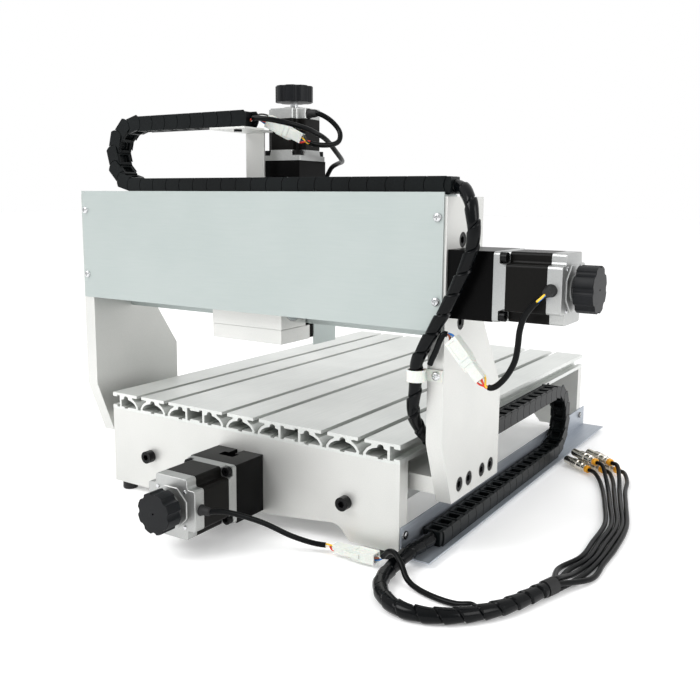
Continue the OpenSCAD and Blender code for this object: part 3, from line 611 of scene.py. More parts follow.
# Routes in millimetres from the table's near edge, the same as the cords' solids.
SLEEVE_ROUTE = [
    (194, 39.7, 14), (194, 30, 14), (193, 14, 14), (192, 1, 14), (190, -12, 11.5), (188, -26, 8),
    (190, -44, 7), (197, -61, 7), (211, -76, 7), (229, -84, 7), (248, -82, 7), (266, -72, 7),
    (281, -57, 7), (293, -39, 7), (301, -20, 7), (308, 1, 7), (314, 19, 7),
]
Y_LEAD_ROUTE = [
    (28.5, -88, 45), (35, -88, 45), (48, -75, 43), (68, -53, 31), (88, -36, 17), (104, -24, 9.5),
    (117, -18.3, 8), (123.9, -18, 8),
]
Y_LINK_ROUTE = [
    (168.1, -17, 8), (171, -17, 8), (176, -18, 13.5), (182, -20.5, 19), (189, -23, 20),
    (198, -28, 15), (207, -34, 6), (220, -40, 3.2), (240, -46, 3.2), (258, -47, 3.5),
    (270, -46, 6), (277, -49.5, 7),
]
X_LEAD_ROUTE = [
    (307, 2.5, 251), (307, -3, 250.5), (303, -7, 246), (296, -7, 239), (290, -7, 230),
    (287, -7, 219), (286, -7, 207), (284, -7, 195), (278, -7, 183), (270, -6.5, 174),
    (264, -6, 171), (259.6, -6, 172.8), (256.4, -6, 176.4),
]
X_BRANCH_ROUTE = [
    (228.9, -6, 207.4), (226.6, -6.4, 210.1), (223, -8, 211.3), (219.7, -9, 205),
    (216.3, -9, 196), (213.2, -9, 189.5), (211.2, -9, 184.5),
]
Z_LEAD_ROUTE = [
    (23.3, 84, 403), (34, 84, 403), (46, 89, 396), (56, 90, 385), (59, 84, 375), (55, 73, 371),
    (48, 60, 371), (42.3, 53.3, 373.7), (38.1, 52.05, 375.95),
]
SPINDLE_LEAD_ROUTE = [
    (10.3, 11.5, 393), (18, 12, 393), (32, 17, 391), (44, 30, 387.5), (50, 46, 384),
    (50, 60, 381), (49, 73, 378), (47, 86, 373.5), (43, 104, 366), (37, 122, 360.5),
    (28, 138, 358), (16, 148, 356.5), (6, 151, 352.5), (0, 150, 342.3),
]
HARNESS_ROUTE = [
    (217.3, 11.5, 330), (224, 11.5, 330), (233, 4.5, 326.5), (241.5, -4, 317), (245.5, -8, 305),
    (247, -8.5, 293), (245.5, -8.5, 281), (240.5, -9, 266), (233, -9, 249), (224, -9, 231),
    (213, -9, 212), (203.5, -9, 195), (199, -9, 184), (198.6, -9, 174), (198.2, -9, 164),
    (196, -8, 150), (194, -3, 138), (194, 7, 125), (194, 22, 112), (194, 42, 98), (194, 58, 90.5),
    (194, 69.7, 90.5),
]
CABLE_ROUTES = [
    [
        (310, 20.6, 8.3), (312, 26.6, 8.3), (305, 62, 3), (314, 96, 3), (313, 135, 3),
        (310, 186, 3), (295, 239, 3), (281, 281, 3), (269.5, 309, 4.2), (258, 328, 6.2),
        (250, 334, 6.2),
    ],
    [
        (311.6, 20.1, 3.5), (313.6, 26.1, 3.5), (313, 61, 3), (320, 96, 3), (318.5, 135, 3),
        (316, 187, 3), (300, 241, 3), (286.5, 284, 3), (275.5, 312, 8.5), (265.5, 332.25, 15.2),
        (257.5, 338.25, 15.2),
    ],
    [
        (314, 19.3, 11.3), (316, 25.3, 11.3), (320, 60, 3), (325, 95, 3), (324, 135, 3),
        (321, 188, 3), (305, 243, 3), (292, 286, 3), (283, 315, 4.2), (273, 336.5, 6.2),
        (265, 342.5, 6.2),
    ],
    [
        (316.4, 18.5, 3.5), (318.4, 24.5, 3.5), (327, 59, 3), (330, 94, 3), (329.5, 135, 3),
        (326, 189, 3), (310, 245, 3), (297.5, 288, 3), (289, 318, 8.5), (280.5, 340.75, 15.2),
        (272.5, 346.75, 15.2),
    ],
    [
        (318, 18, 8.3), (320, 24, 8.3), (334.8, 58, 3), (334.9, 94, 3), (334.8, 135, 3),
        (330, 190, 3), (315, 247, 3), (303, 291, 3), (297, 322, 4.2), (288, 345, 6.2),
        (280, 351, 6.2),
    ],
]
PLUG_WAY = Vector((-0.8, 0.6, 0))

# The tail: a wrapped bundle that leaves the lower chain and lies in a loop on the bench.
SLEEVE_R, SLEEVE_PITCH = 6.75, 16
WRAP_STEP = 0.7
sleeve_path = even(rounded_route(SLEEVE_ROUTE), WRAP_STEP)
tail_sleeve = tube(
    "tail_sleeve_wrap", sleeve_path, SLEEVE_R, 28, spiral_wrap(SLEEVE_R, SLEEVE_PITCH)
)
settle(tail_sleeve, "base", WRAP, "chain_plastic", "tail_sleeve")
# A shrunk rubber collar closes the wrap's last turn and narrows toward the cables.
COLLAR_R, COLLAR_STRAIGHT = 6.95, 13.5
past_end = (sleeve_path[-1] - sleeve_path[-3]).normalized() * 2 * MM
collar = tube(
    "tail_sleeve_collar",
    sleeve_path[-16:] + [sleeve_path[-1] + past_end],
    COLLAR_R,
    24,
    lambda s, turn: COLLAR_R - 1.6 * max(0, (s - COLLAR_STRAIGHT) / 3) ** 2,
)
settle(collar, "base", RUBBER, "cable_black")
declare(sleeve_path)

# Five cables fan out of it and end in round metal plugs with a knurled nut.
CABLE_D = 4.8
KNURL_FROM, KNURL_TO = 20.2, 30
plug = turned("plug_pattern", [
    (3.4, 4.6), (4.5, 4.8), (4.7, 5.2), (4.7, 8.6), (4.3, 9), (4.3, 10.2), (5.3, 10.6), (5.5, 11),
    (5.5, 17), (5.2, 17.4), (4.6, 17.6), (4.6, 19.4), (5.5, 19.8), (5.75, KNURL_FROM),
    (5.75, KNURL_TO), (5.5, 30.4), (4.9, 30.6), (4.9, 43), (4.6, 43.8), (4.2, 43.8), (4.2, 36),
    (0.8, 36)], 30)
edit(plug)
pick(plug, lambda c, n: KNURL_FROM * MM < c.z < KNURL_TO * MM and abs(n.z) < 0.2)
bpy.ops.mesh.inset(thickness=0.2 * MM, use_individual=True)
bpy.ops.mesh.extrude_faces_move(TRANSFORM_OT_shrink_fatten={"value": -0.25 * MM})
done(plug)
smooth(bevelled(plug, 0.15, 1, 50), 40)
plug_ring = turned(
    "ring_pattern", [(2.5, 0.2), (3.7, 0.3), (4.3, 1.2), (4.4, 4.2), (4.2, 4.7), (2.6, 4.8)], 30
)
smooth(bevelled(plug_ring, 0.2, 1, 50), 40)
for i, route in enumerate(CABLE_ROUTES):
    stand = frame_at(at(*route[-1]) + PLUG_WAY * 0.3 * MM, PLUG_WAY)
    barrel = copy_of(plug, "tail_plug_%d" % (i + 1), stand)
    ring = copy_of(plug_ring, "tail_plug_ring_%d" % (i + 1), stand)
    settle(barrel, "base", NICKEL, "nickel", "tail_plugs")
    settle(ring, "base", YELLOW_RING, "nickel")
    path = even(rounded_route(route), 3.0)
    cable = tube("tail_cable_%d" % (i + 1), path, CABLE_D / 2, 12)
    settle(cable, "base", SHEATH, "cable_black", "tail_cables")
    declare(path)
discard(plug, plug_ring)


def plug_pair(name, start, end, broad, body, slot, node):
    """A white plug clipped into its wider socket between two points, broad side along broad.

    Returns the pair, the points where wires go in and out, and the way from one to the other.
    """
    start, end = at(*start), at(*end)
    way = (end - start).normalized()
    reach = (end - start).length / MM
    split = reach * 0.5
    slim = block("plug_half", (-4.4, -3.9, 0.3), (4.4, 3.9, split))
    edit(slim)
    pick(slim, lambda c, n: n.z < -0.9)
    bpy.ops.mesh.inset(thickness=1.1 * MM)
    bpy.ops.mesh.extrude_region_move(TRANSFORM_OT_translate={"value": (0, 0, 3.0 * MM)})
    pick(slim, lambda c, n: abs(n.x) > 0.9 and abs(c.x) > 4 * MM)
    bpy.ops.mesh.inset(thickness=2.2 * MM, use_individual=True)
    bpy.ops.mesh.extrude_faces_move(TRANSFORM_OT_shrink_fatten={"value": -0.5 * MM})
    done(slim)
    wide = block("socket_half", (-5.9, -4.8, split), (5.9, 4.8, reach - 0.3))
    edit(wide)
    pick(wide, lambda c, n: n.z > 0.9)
    bpy.ops.mesh.inset(thickness=1.5 * MM)
    bpy.ops.mesh.extrude_region_move(TRANSFORM_OT_translate={"value": (0, 0, -3.0 * MM)})
    pick(wide, lambda c, n: abs(n.y) > 0.9 and abs(c.y) > 4 * MM)
    bpy.ops.mesh.inset(thickness=2.4 * MM, use_individual=True)
    bpy.ops.mesh.extrude_faces_move(TRANSFORM_OT_shrink_fatten={"value": -0.6 * MM})
    done(wide)
    shoulder = block("shoulder", (-5.1, -4.3, split - 5), (5.1, 4.3, split + 1))
    latch = block("latch", (3.9, -2.1, split - 6), (7.3, 2.1, split + 7))
    edit(latch)
    pick(latch, lambda c, n: n.z < -0.9)
    bpy.ops.mesh.extrude_region_move(
        TRANSFORM_OT_translate={"value": (-0.6 * MM, 0, -2.5 * MM)}
    )
    done(latch)
    whole = joined([slim, wide, shoulder, latch], name)
    smooth(bevelled(whole, 0.4, 2, 40), 40)
    whole.data.transform(frame_at(start, way, broad.cross(way)))
    settle(whole, body, MILKY_NYLON, slot, node)
    return whole, start + way * 2 * MM, end - way * 2 * MM, way


LEAD_D = 5.0


def lead(name, route, body, node, start_mm=0.0, end_mm=0.0):
    """A motor's cable, its sheath cut back where the single wires show."""
    path = even(cut_back(rounded_route(route), start_mm, end_mm), 2.0)
    piece = tube(name, path, LEAD_D / 2, 12)
    settle(piece, body, SHEATH, "cable_black", node)
    return piece, path


def leaving(path, end=0):
    """The way out of a path's end: its first point (0) or its last one (-1)."""
    return path[0] - path[2] if end == 0 else path[-1] - path[-3]


# Leads of the three motors, each with its white plug and socket. The wires lie side by side
# across the plug, along its broad side.
WIRE_GAP = 2.6
X_BROAD, Y_BROAD, Z_BROAD = Vector((0.747, 0, 0.664)), Vector((0, 1, 0)), Vector((0.46, 0, 0.88))

x_plug, x_in, x_out, x_way = plug_pair(
    "x_plug_and_socket", (256.2, -6, 176.6), (229, -6, 207.2), X_BROAD,
    "gantry", "connector_white", "x_connector")
x_lead, x_path = lead("x_motor_lead", X_LEAD_ROUTE, "gantry", "x_lead", start_mm=17, end_mm=8)
wire_fan(
    "x_grommet_wire", "gantry", at(307, -3, 250.4), Vector((0, -1, -0.3)), x_path[1],
    x_path[1] - x_path[0], ["blue", "yellow", "blue"], 0.8, (1, 0, 0))
x_fan = wire_fan(
    "x_wire", "gantry", x_path[-1], leaving(x_path, -1), x_in, x_way,
    ["red", "yellow", "red", "yellow"], WIRE_GAP, X_BROAD)
declare(x_path)
x_branch, x_branch_path = lead("x_branch_lead", X_BRANCH_ROUTE, "gantry", "x_lead", start_mm=5)
wire_fan(
    "x_branch_wire", "gantry", x_branch_path[0], leaving(x_branch_path), x_out, -x_way,
    ["blue", "brown", "white", "blue"], WIRE_GAP, X_BROAD)
declare(x_branch_path)

y_plug, y_in, y_out, y_way = plug_pair(
    "y_plug_and_socket", (124, -18, 8), (168, -17, 8), Y_BROAD,
    "base", "connector_white", "y_connector")
y_lead, y_path = lead("y_motor_lead", Y_LEAD_ROUTE, "base", "y_lead", end_mm=9)
y_fan = wire_fan(
    "y_wire", "base", y_path[-1], leaving(y_path, -1), y_in, y_way,
    ["red", "yellow", "white", "yellow"], WIRE_GAP, Y_BROAD)
declare(y_path)
y_link, y_link_path = lead("y_link_lead", Y_LINK_ROUTE, "base", "y_lead", start_mm=7)
wire_fan(
    "y_link_wire", "base", y_link_path[0], leaving(y_link_path), y_out, -y_way,
    ["brown", "blue", "white", "brown"], WIRE_GAP, Y_BROAD)
declare(y_link_path)

z_plug, z_in, z_out, z_way = plug_pair(
    "z_plug_and_socket", (38, 52, 376), (4, 42.3, 393.8), Z_BROAD,
    "x_carriage", "connector_white", "z_connector")
z_lead, z_path = lead("z_motor_lead", Z_LEAD_ROUTE, "x_carriage", "z_lead", end_mm=8)
z_fan = wire_fan(
    "z_wire", "x_carriage", z_path[-1], leaving(z_path, -1), z_in, z_way,
    ["red", "blue", "yellow", "black"], WIRE_GAP, Z_BROAD)
declare(z_path)
chain_mouth = at(8, 12, 392)
wire_fan(
    "z_chain_wire", "x_carriage", chain_mouth, Vector((-0.3, 0.8, 0.4)), z_out, -z_way,
    ["blue", "red", "brown", "white", "black"], 2.2, Z_BROAD)

# Spindle cable: out of the upper chain, over the carriage and down into the spindle.
spindle_path = even(rounded_route(SPINDLE_LEAD_ROUTE), 2.0)
spindle_lead = tube("spindle_lead", spindle_path, LEAD_D / 2, 12)
paint(spindle_lead, SHEATH)
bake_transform(spindle_lead)
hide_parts("z_lead")
declare(spindle_path)

# Wrapped harness from the upper chain down the gantry's edge into the lower one.
HARNESS_R, HARNESS_PITCH = 6.0, 19
harness = tube(
    "gantry_harness_wrap", even(rounded_route(HARNESS_ROUTE), WRAP_STEP), HARNESS_R, 28,
    spiral_wrap(HARNESS_R, HARNESS_PITCH))
settle(harness, "gantry", WRAP, "cable_black", "harness")

# ------------------------------------------------------------------ cable chains

# A link's cheek ends in an arc round one pin and is gouged by the same arc round the other.
CHEEK_R, CHEEK_GAP, CHEEK_HALF_H = 10.4, 0.45, 7.4
CHEEK_X, DISC_X = 9.4, 8.4


def across(radius_mm, depth_mm, vertices, x_mm, y_mm):
    """A cylinder whose axis runs across the chain."""
    clear_selection()
    bpy.ops.mesh.primitive_cylinder_add(
        vertices=vertices, radius=radius_mm * MM, depth=depth_mm * MM,
        rotation=(0, math.pi / 2, 0), location=(x_mm * MM, y_mm * MM, 0))
    bpy.ops.object.transform_apply(location=True, rotation=True, scale=True)
    return bpy.context.object


def cut_away(piece, cutter):
    """Takes the cutter's shape out of a piece and drops the cutter."""
    only(piece)
    cut = piece.modifiers.new("cut", "BOOLEAN")
    cut.object, cut.operation = cutter, "DIFFERENCE"
    bpy.ops.object.modifier_apply(modifier=cut.name)
    discard(cutter)
    return piece


def chain_cheek(side, pitch_mm):
    """The outer wall of a link on one side."""
    cheek = across(CHEEK_R, 1.1, 36, side * CHEEK_X, pitch_mm)
    bpy.ops.object.mode_set(mode="EDIT")
    for spot, way in (
        ((0, 0, CHEEK_HALF_H * MM), (0, 0, 1)),
        ((0, 0, -CHEEK_HALF_H * MM), (0, 0, -1)),
        ((0, pitch_mm * MM, 0), (0, -1, 0)),
    ):
        bpy.ops.mesh.select_all(action="SELECT")
        bpy.ops.mesh.bisect(plane_co=spot, plane_no=way, clear_outer=True, use_fill=True)
    pick(cheek, lambda c, n: n.y < -0.9)
    bpy.ops.mesh.extrude_region_move(
        TRANSFORM_OT_translate={"value": (0, (7.8 - pitch_mm) * MM, 0)}
    )
    done(cheek)
    cut_away(cheek, across(CHEEK_R + CHEEK_GAP, 6, 36, side * CHEEK_X, 0))
    return bevelled(cheek, 0.3, 1, 60)


def chain_link(pitch_mm):
    """One link from a pin at the origin to the next along +Y: a frame open above and below,
    thin discs that fill the joint, and two cheeks."""
    body = block("frame", (-8.8, 4.6, -7.1), (8.8, pitch_mm + 2.8, 7.1))
    edit(body)
    for sign in (1, -1):
        pick(body, lambda c, n, s=sign: n.z * s > 0.9)
        bpy.ops.mesh.inset(thickness=3.2 * MM)
        bpy.ops.mesh.extrude_region_move(
            TRANSFORM_OT_translate={"value": (0, 0, -4.5 * sign * MM)}
        )
    done(body)
    bevelled(body, 0.6, 1, 40)
    pieces = [body]
    for side in (-1, 1):
        pieces.append(across(7.1, 1.2, 16, side * DISC_X, pitch_mm))
        pieces.append(chain_cheek(side, pitch_mm))
    return smooth(joined(pieces, "link"), 35)


def chain(name, pins, inward):
    """Links from pin to pin; inward(point) is the way to the inside of the bend."""
    pattern = chain_link((pins[1] - pins[0]).length / MM)
    links = []
    for a, b in zip(pins, pins[1:]):
        y = (b - a).normalized()
        x = y.cross(inward((a + b) / 2)).normalized()
        stand = Matrix((x, y, x.cross(y))).transposed().to_4x4()
        stand.translation = a
        links.append(copy_of(pattern, "link", stand))
    discard(pattern)
    return paint(joined(links, name), CHAIN_NYLON)


def pins_on_line(start, way, first, last, count):
    """Pins evenly spaced along a line, from first to last millimetres past its start."""
    return [
        at(*(Vector(start) + Vector(way) * (first + (last - first) * k / count)))
        for k in range(count + 1)
    ]


def pins_on_bend(centre, outward, radius_mm, count):
    """Pins round a half turn from under its centre to over it, bulging outward."""
    return [
        at(*(Vector(centre) + (Vector(outward) * math.sin(a) - UP * math.cos(a)) * radius_mm))
        for a in [math.pi * k / count for k in range(count + 1)]
    ]


def chain_run(name, node, pins, inward):
    """A straight run of links, baked in place; its CAD node is hidden."""
    links = chain(name, pins, inward)
    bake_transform(links)
    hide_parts(node)


def chain_turn(name, node, centre, outward, radius_mm, count):
    """The half turn between two runs; it rolls along on a body of its own."""
    hub = at(*centre)
    links = chain(name, pins_on_bend(centre, outward, radius_mm, count), lambda p: hub - p)
    settle(links, name.replace("_links", ""), CHAIN_NYLON, "chain_plastic", node)


# A link's cheeks run some 8 mm past its pins, so the pins start that far before a run does.
chain_run(
    "x_chain_lower_links", "x_chain_lower",
    pins_on_line((217, 11.5, 331), (-1, 0, 0), -8, 356, 20), lambda p: UP)
chain_run(
    "x_chain_upper_links", "x_chain_upper",
    pins_on_line((-139, 11.5, 393), (1, 0, 0), 0, 138.5, 8), lambda p: -UP)
chain_turn("x_chain_turn_links", "x_chain_loop", (-139, 11.5, 362), (-1, 0, 0), 31, 6)
chain_run(
    "y_chain_lower_links", "y_chain_lower",
    pins_on_line((194, 40, 14), (0, 1, 0), -8, 313, 18), lambda p: UP)
chain_run(
    "y_chain_upper_links", "y_chain_upper",
    pins_on_line((194, 353, 90), (0, -1, 0), 0, 273, 15), lambda p: -UP)
chain_turn("y_chain_turn_links", "y_chain_loop", (194, 353, 52), (0, 1, 0), 38, 7)

# The foot that holds the upper run to the gantry.
y_foot = block("y_chain_foot", (-9.8, 0, 0), (9.8, 30, 6.2))
edit(y_foot)
pick(y_foot, lambda c, n: n.z > 0.9)
bpy.ops.mesh.inset(thickness=2 * MM)
bpy.ops.mesh.extrude_region_move(TRANSFORM_OT_translate={"value": (0, 0, -1.5 * MM)})
done(y_foot)
smooth(bevelled(y_foot, 0.4))
y_foot.data.transform(Matrix.Translation(at(194, 72, 77)))
settle(y_foot, "gantry", BLACK_ANODISED, "chain_plastic")

# ------------------------------------------------------------------ machined pieces

paint(frame["nodes"]["table_profiles"], EXTRUSION)
for node, name, width, material in [
    ("end_plates", "end_plates_milled", 0.6, PLATE),
    ("side_plates", "side_plates_milled", 0.6, PLATE),
    ("cross_plate", "cross_plate_milled", 0.5, PLATE),
    ("y_bearing_blocks", "bearing_blocks_milled", 0.5, PLATE),
    ("y_nut", "nut_block_milled", 0.5, PLATE),
    ("carriage_plates", "carriage_plates_milled", 0.6, PLATE),
    ("z_back_plate", "z_back_plate_milled", 0.5, BLACK_ANODISED),
    ("z_side_covers", "z_side_covers_bent", 0.3, COVER_SHEET),
    ("chain_bracket", "chain_bracket_bent", 0.3, PLATE),
    ("rear_cover", "rear_cover_bent", 0.35, COVER_SHEET),
    ("front_cover", "front_cover_bent", 0.35, COVER_SHEET),
    ("cable_tray", "cable_tray_bent", 0.35, TRAY_SHEET),
    ("x_housing", "x_housing_milled", 0.8, BLACK_ANODISED),
    ("y_housing", "y_housing_milled", 0.8, BLACK_ANODISED),
    ("z_housing", "z_housing_milled", 0.8, BLACK_ANODISED),
    ("feet", "rubber_feet", 1.2, RUBBER),
    ("cable_clip", "cable_clip_moulded", 0.3, MILKY_NYLON),
    ("base_screws", "base_screws_turned", 0.35, BLACK_OXIDE),
    ("carriage_screws", "carriage_screws_turned", 0.3, BLACK_OXIDE),
    ("y_shafts", "y_shafts_ground", 0.8, GROUND_STEEL),
    ("x_shafts", "x_shafts_ground", 0.8, GROUND_STEEL),
    ("z_shafts", "z_shafts_ground", 0.4, GROUND_STEEL),
    ("spindle_rotor", "spindle_collet_turned", 0.5, SHELL_STEEL),
    ("x_nut", "x_ball_nut_turned", 0.5, SCREW_STEEL),
]:
    plain(node, name, width, material)
for axis in "xyz":
    paint(frame["nodes"][axis + "_screw_bearings"], GROUND_STEEL)
    paint(frame["nodes"][axis + "_motor_shaft"], GROUND_STEEL)

# Carriage and slide: the aluminium blocks apart from the rings pressed into them.
for node, name in (("carriage_block", "carriage"), ("z_slide_block", "slide")):
    parts = loose_parts(machined(node, name, 0.5))
    parts.sort(key=lambda part: -len(part.data.vertices))
    for i, part in enumerate(parts):
        part.name = "%s_part_%d" % (name, i)
        settle(part, BODY[node], PLATE if i == 0 else GROUND_STEEL, SLOT[node], node)

# Cross-recessed screws of the covers, the clip and the tray.
COVER_SCREW_X, COVER_SCREW_Z = 211.5, (236, 305)
pan = turned(
    "pan_pattern", [(3.9, 0), (3.9, 0.7), (3.6, 1.4), (2.9, 2.0), (1.8, 2.35), (0.6, 2.45)], 24
)
cutter = joined([
    block("slot_a", (-2.1, -0.38, 1.1), (2.1, 0.38, 4)),
    block("slot_b", (-0.38, -2.1, 1.1), (0.38, 2.1, 4)),
], "cross_cutter")
only(pan)
cut = pan.modifiers.new("cross", "BOOLEAN")
cut.object, cut.operation, cut.use_self = cutter, "DIFFERENCE", True
bpy.ops.object.modifier_apply(modifier=cut.name)
smooth(pan, 35)
for part in loose_parts(machined("gantry_screws", "gantry_screw", 0.35)):
    spot = middle(part) / MM - HOME
    in_cover = spot.y < 8 and spot.z > 200 and abs(abs(spot.x) - COVER_SCREW_X) < 2
    if in_cover:
        discard(part)
    else:
        settle(part, "gantry", BLACK_OXIDE, "black_screw", "gantry_screws")
for i, (x, z) in enumerate([(s * COVER_SCREW_X, z) for s in (-1, 1) for z in COVER_SCREW_Z]):
    head = copy_of(pan, "cover_screw_%d" % (i + 1), frame_at(at(x, -1.5, z), (0, -1, 0)))
    settle(head, "gantry", ZINC_SCREW, "black_screw")
clip_screw = copy_of(pan, "clip_screw", frame_at(at(214, -2.6, 174), (0, -1, 0)))
settle(clip_screw, "gantry", ZINC_SCREW, "black_screw")
for i, y in enumerate((7.5, 512.5)):
    head = copy_of(pan, "tray_screw_%d" % (i + 1), frame_at(at(181.5, y, 24), (1, 0, 0)))
    settle(head, "base", ZINC_SCREW, "black_screw")
discard(pan, cutter)

# Clamp screws of the spindle holder, across its slit.
clamp_screw = turned(
    "clamp_pattern", [(2.5, -3), (2.5, 0), (4.2, 0), (4.3, 0.3), (4.3, 4.6), (4.0, 5)], 24
)
edit(clamp_screw)
pick(clamp_screw, lambda c, n: n.z > 0.9 and c.z > 4.5 * MM)
bpy.ops.mesh.inset(thickness=1.7 * MM)
bpy.ops.mesh.extrude_region_move(TRANSFORM_OT_translate={"value": (0, 0, -2.5 * MM)})
done(clamp_screw)
smooth(clamp_screw)
for i, z in enumerate((260, 288)):
    head = copy_of(clamp_screw, "clamp_screw_%d" % (i + 1), frame_at(at(22, 188.0, z), (0, 1, 0)))
    settle(head, "z_slide", BLACK_OXIDE, "black_screw")
discard(clamp_screw)

# Spindle shell: banded body with a turned cap and a gland for its cable.
shell = turned("spindle_shell", [
    (21, 214), (24.5, 214.2), (26, 215.6), (26, 226), (25.4, 226.6), (25.4, 228.6), (26, 229.2),
    (26, 318), (25.3, 318.6), (25.3, 320.4), (26, 321), (26, 333), (24.6, 335.6), (9, 336),
    (8, 336.4), (8, 340.6), (7.2, 341.8), (3.4, 342)], 64)
smooth(bevelled(shell, 0.25, 1, 50), 35)
shell.data.transform(Matrix.Translation(at(0, 150, 0)))
settle(shell, "z_slide", SHELL_STEEL, "spindle_steel", "spindle_body")


def ball_screw(name, node, body, origin, way, length_mm, radius_mm, lead_mm, journals):
    """A rolled screw with a rounded helical groove, and its plain journals."""

    def groove(s, turn):
        phase = (s / lead_mm - turn) % 1.0
        dip = math.sin(math.pi * min(1.0, phase / 0.7)) if phase < 0.7 else 0.0
        return radius_mm - 0.8 * dip

    origin, way = Vector(origin), Vector(way)
    steps = round(length_mm / 0.8)
    path = [at(*(origin + way * (k * length_mm / steps))) for k in range(steps + 1)]
    thread = tube(name + "_thread", path, radius_mm, 20, groove)
    settle(thread, body, SCREW_STEEL, "shaft_steel", node)
    for i, (start, length, radius) in enumerate(journals):
        profile = [
            (radius - 0.5, 0), (radius, 0.5), (radius, length - 0.5), (radius - 0.5, length)
        ]
        end = turned("journal", profile, 32)
        smooth(end)
        end.data.transform(frame_at(at(*(origin + way * start)), way))
        end.name = "%s_journal_%d" % (name, i + 1)
        settle(end, body, GROUND_STEEL, "shaft_steel")


ball_screw(
    "y_ball_screw", "y_screw", "y_screw_line", (0, 17, 45), (0, 1, 0), 486, 8, 5,
    [(-36, 36, 5), (486, 13, 5)])
ball_screw(
    "x_ball_screw", "x_screw", "x_screw_line", (-202.5, 31, 251), (1, 0, 0), 405, 8, 5,
    [(-13, 13, 5), (405, 36, 5)])
ball_screw(
    "z_ball_screw", "z_screw", "z_screw_line", (0, 91, 193), (0, 0, 1), 113, 6, 4,
    [(-10, 10, 4), (113, 17, 4), (129.5, 15, 5)])

# ------------------------------------------------------------------ motors and knobs


def round_long_edges(piece, origin, way, from_mm, width_mm, segments=3):
    """Rounds the edges that run along way and lie further than from_mm from the axis."""
    edit(piece)
    bpy.ops.mesh.select_mode(type="EDGE")
    bpy.ops.object.mode_set(mode="OBJECT")
    middle_line, co = at(*origin), [v.co for v in piece.data.vertices]
    for edge in piece.data.edges:
        a, b = (co[i] for i in edge.vertices)
        off = (a - middle_line) - way * (a - middle_line).dot(way)
        edge.select = abs((b - a).normalized().dot(way)) > 0.999 and off.length > from_mm * MM
    bpy.ops.object.mode_set(mode="EDIT")
    bpy.ops.mesh.bevel(offset=width_mm * MM, segments=segments, affect="EDGES")
    return done(piece)


# The front bell's middle lies nearer the housing than this, along the shaft.
FRONT_BELL_TO = 13


def motor(axis, origin, way, width, stator_to, length, side, lead_at, lead_way):
    """The motor's bells and stator, its rear screws, and the grommet of its lead."""
    body, node = {"x": "gantry", "y": "base", "z": "x_carriage"}[axis], axis + "_motor"
    way = Vector(way)
    for part in loose_parts(machined(node, node + "_part", 0)):
        round_long_edges(part, origin, way, width * 0.4, 2.3)
        smooth(bevelled(part, 0.45, 2, 40), 40)
        along = (middle(part) / MM - HOME - Vector(origin)).dot(way)
        if along < FRONT_BELL_TO:
            part.name, material = node + "_front_bell", CAST_BELL
        elif along < stator_to:
            part.name, material = node + "_stator", STATOR
        else:
            part.name, material = node + "_rear_bell", CAST_BELL
        settle(part, body, material, "motor_black", node)
    # Four long screws hold the rear bell, just inside its cut-back corners.
    hole = (width - 9.26) / 2 - 7.2
    head = turned("rear_screw", [(2.0, -1), (2.0, 0.3), (1.8, 0.8), (1.0, 1.1)], 16)
    smooth(head)
    stand = frame_at(at(*(Vector(origin) + way * length)), way, side)
    for i, (a, b) in enumerate([(1, 1), (1, -1), (-1, -1), (-1, 1)]):
        shift = Matrix.Translation((a * hole * MM, b * hole * MM, 0))
        screw = copy_of(head, "%s_rear_screw_%d" % (node, i + 1), stand @ shift)
        settle(screw, body, ZINC_SCREW, "black_screw")
    discard(head)
    # An eight-sided raised land round the rear bearing.
    rim = width * 0.36
    plate = turned(
        node + "_bell_plate",
        [(rim, -0.5), (rim, 0.4), (width * 0.35, 0.8), (11.2, 0.8), (11.2, -0.3)], 8)
    plate.data.transform(Matrix.Rotation(math.pi / 8, 4, "Z"))
    smooth(plate, 20)
    plate.data.transform(stand)
    settle(plate, body, CAST_BELL, "motor_black")
    grommet = turned(node + "_grommet", [
        (5.2, -1.5), (5.2, 0.5), (4.6, 1.5), (4.0, 3.5), (3.9, 7), (3.5, 9.5), (3.05, 10)], 24)
    smooth(grommet)
    grommet.data.transform(frame_at(at(*lead_at), lead_way))
    settle(grommet, body, RUBBER, "cable_black")


motor("x", (259.5, 31, 251), (1, 0, 0), 56.4, 44, 56, UP, (307, 2.8, 251), (0, -1, -0.12))
motor("y", (0, -40, 45), (0, -1, 0), 56.4, 44, 56, UP, (28.2, -88, 45), (1, 0.05, 0))
motor("z", (0, 91, 357), (0, 0, 1), 46, 41, 51.5, (0, 1, 0), (23.0, 84, 403), (1, 0, 0))


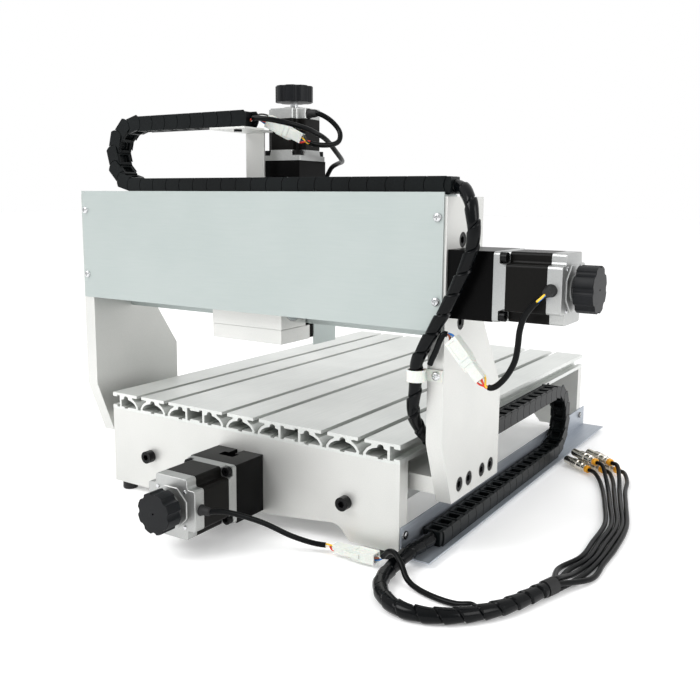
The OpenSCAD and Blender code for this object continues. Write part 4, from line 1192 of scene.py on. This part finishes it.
def hand_knob(axis, origin, way, front_mm=0.0, back_mm=2.0):
    """The lobed knob with rounded edges and a small centre hole. Its face is set back by
    front_mm and its rear forward by back_mm."""
    node, body = axis + "_knob", axis + "_screw_line"
    way, face = Vector(way), at(*origin)
    knob = machined(node, node + "_moulded", 1.8, 3)
    for near, far, shift in ((-3, 2, -front_mm), (-25, -15.5, back_mm)):
        edit(knob)
        pick(knob, lambda c, n: near * MM < (c - face).dot(way) < far * MM)
        bpy.ops.transform.translate(value=way * shift * MM)
        done(knob)
    clear_selection()
    bpy.ops.mesh.primitive_cylinder_add(vertices=16, radius=1.0 * MM, depth=6 * MM)
    drill = bpy.context.object
    bpy.ops.object.transform_apply(location=True, rotation=True, scale=True)
    drill.data.transform(frame_at(face, way))
    smooth(cut_away(knob, drill), 40)
    settle(knob, body, KNOB_NYLON, "knob_plastic", node)


hand_knob("x", (338.5, 31, 251), (1, 0, 0), 2.0, 0.0)
hand_knob("y", (0, -119, 45), (0, -1, 0))
hand_knob("z", (0, 91, 431.5), (0, 0, 1))

# ------------------------------------------------------------------ floor and light

clear_selection()
bpy.ops.mesh.primitive_plane_add(size=30, location=(0, 0, 0))
floor = bpy.context.object
floor.name = "studio_floor"
# Matt white paper sweep under the machine, lit a little from below so that it stays white.
paint(floor, finish(
    "white_paper", ("#F4F4F4", "#FAFAFA"), 3.0, bump_mm=0.01, rough=(0.85, 0.95),
    Emission_Color=(1, 1, 1, 1), Emission_Strength=0.16))

bpy.context.scene.view_settings.view_transform = "Standard"
world = bpy.data.worlds.new("studio")
bpy.context.scene.world = world
world.use_nodes = True
# A white room whose wall behind the photographer is in half shade, which gives metal its depth.
sky = world.node_tree.nodes["Background"]
direction = add(world, "ShaderNodeTexCoord").outputs["Generated"]
facing = add(
    world, "ShaderNodeVectorMath", {"operation": "DOT_PRODUCT", 1: (0.35, -0.93, 0.0)}, i0=direction
).outputs["Value"]
shade = add(
    world,
    "ShaderNodeMapRange",
    {"From Min": -0.1, "From Max": 0.9, "To Min": 1.0, "To Max": 0.62},
    Value=facing,
).outputs[0]
world.node_tree.links.new(shade, sky.inputs["Strength"])
sky.inputs["Color"].default_value = (1, 1, 1, 1)


def soft_light(name, spot, aim, size, power):
    bpy.ops.object.light_add(type="AREA", location=spot)
    light = bpy.context.object
    light.name = name
    light.data.shape, light.data.size, light.data.energy = "SQUARE", size, power
    light.rotation_mode = "QUATERNION"
    light.rotation_quaternion = (Vector(aim) - Vector(spot)).to_track_quat("-Z", "Y")


soft_light("key_softbox", (-1.2, -2.2, 2.4), (0, 0, 0.15), 1.6, 64)
soft_light("side_softbox", (2.6, -0.4, 1.4), (0, 0, 0.2), 1.4, 28)
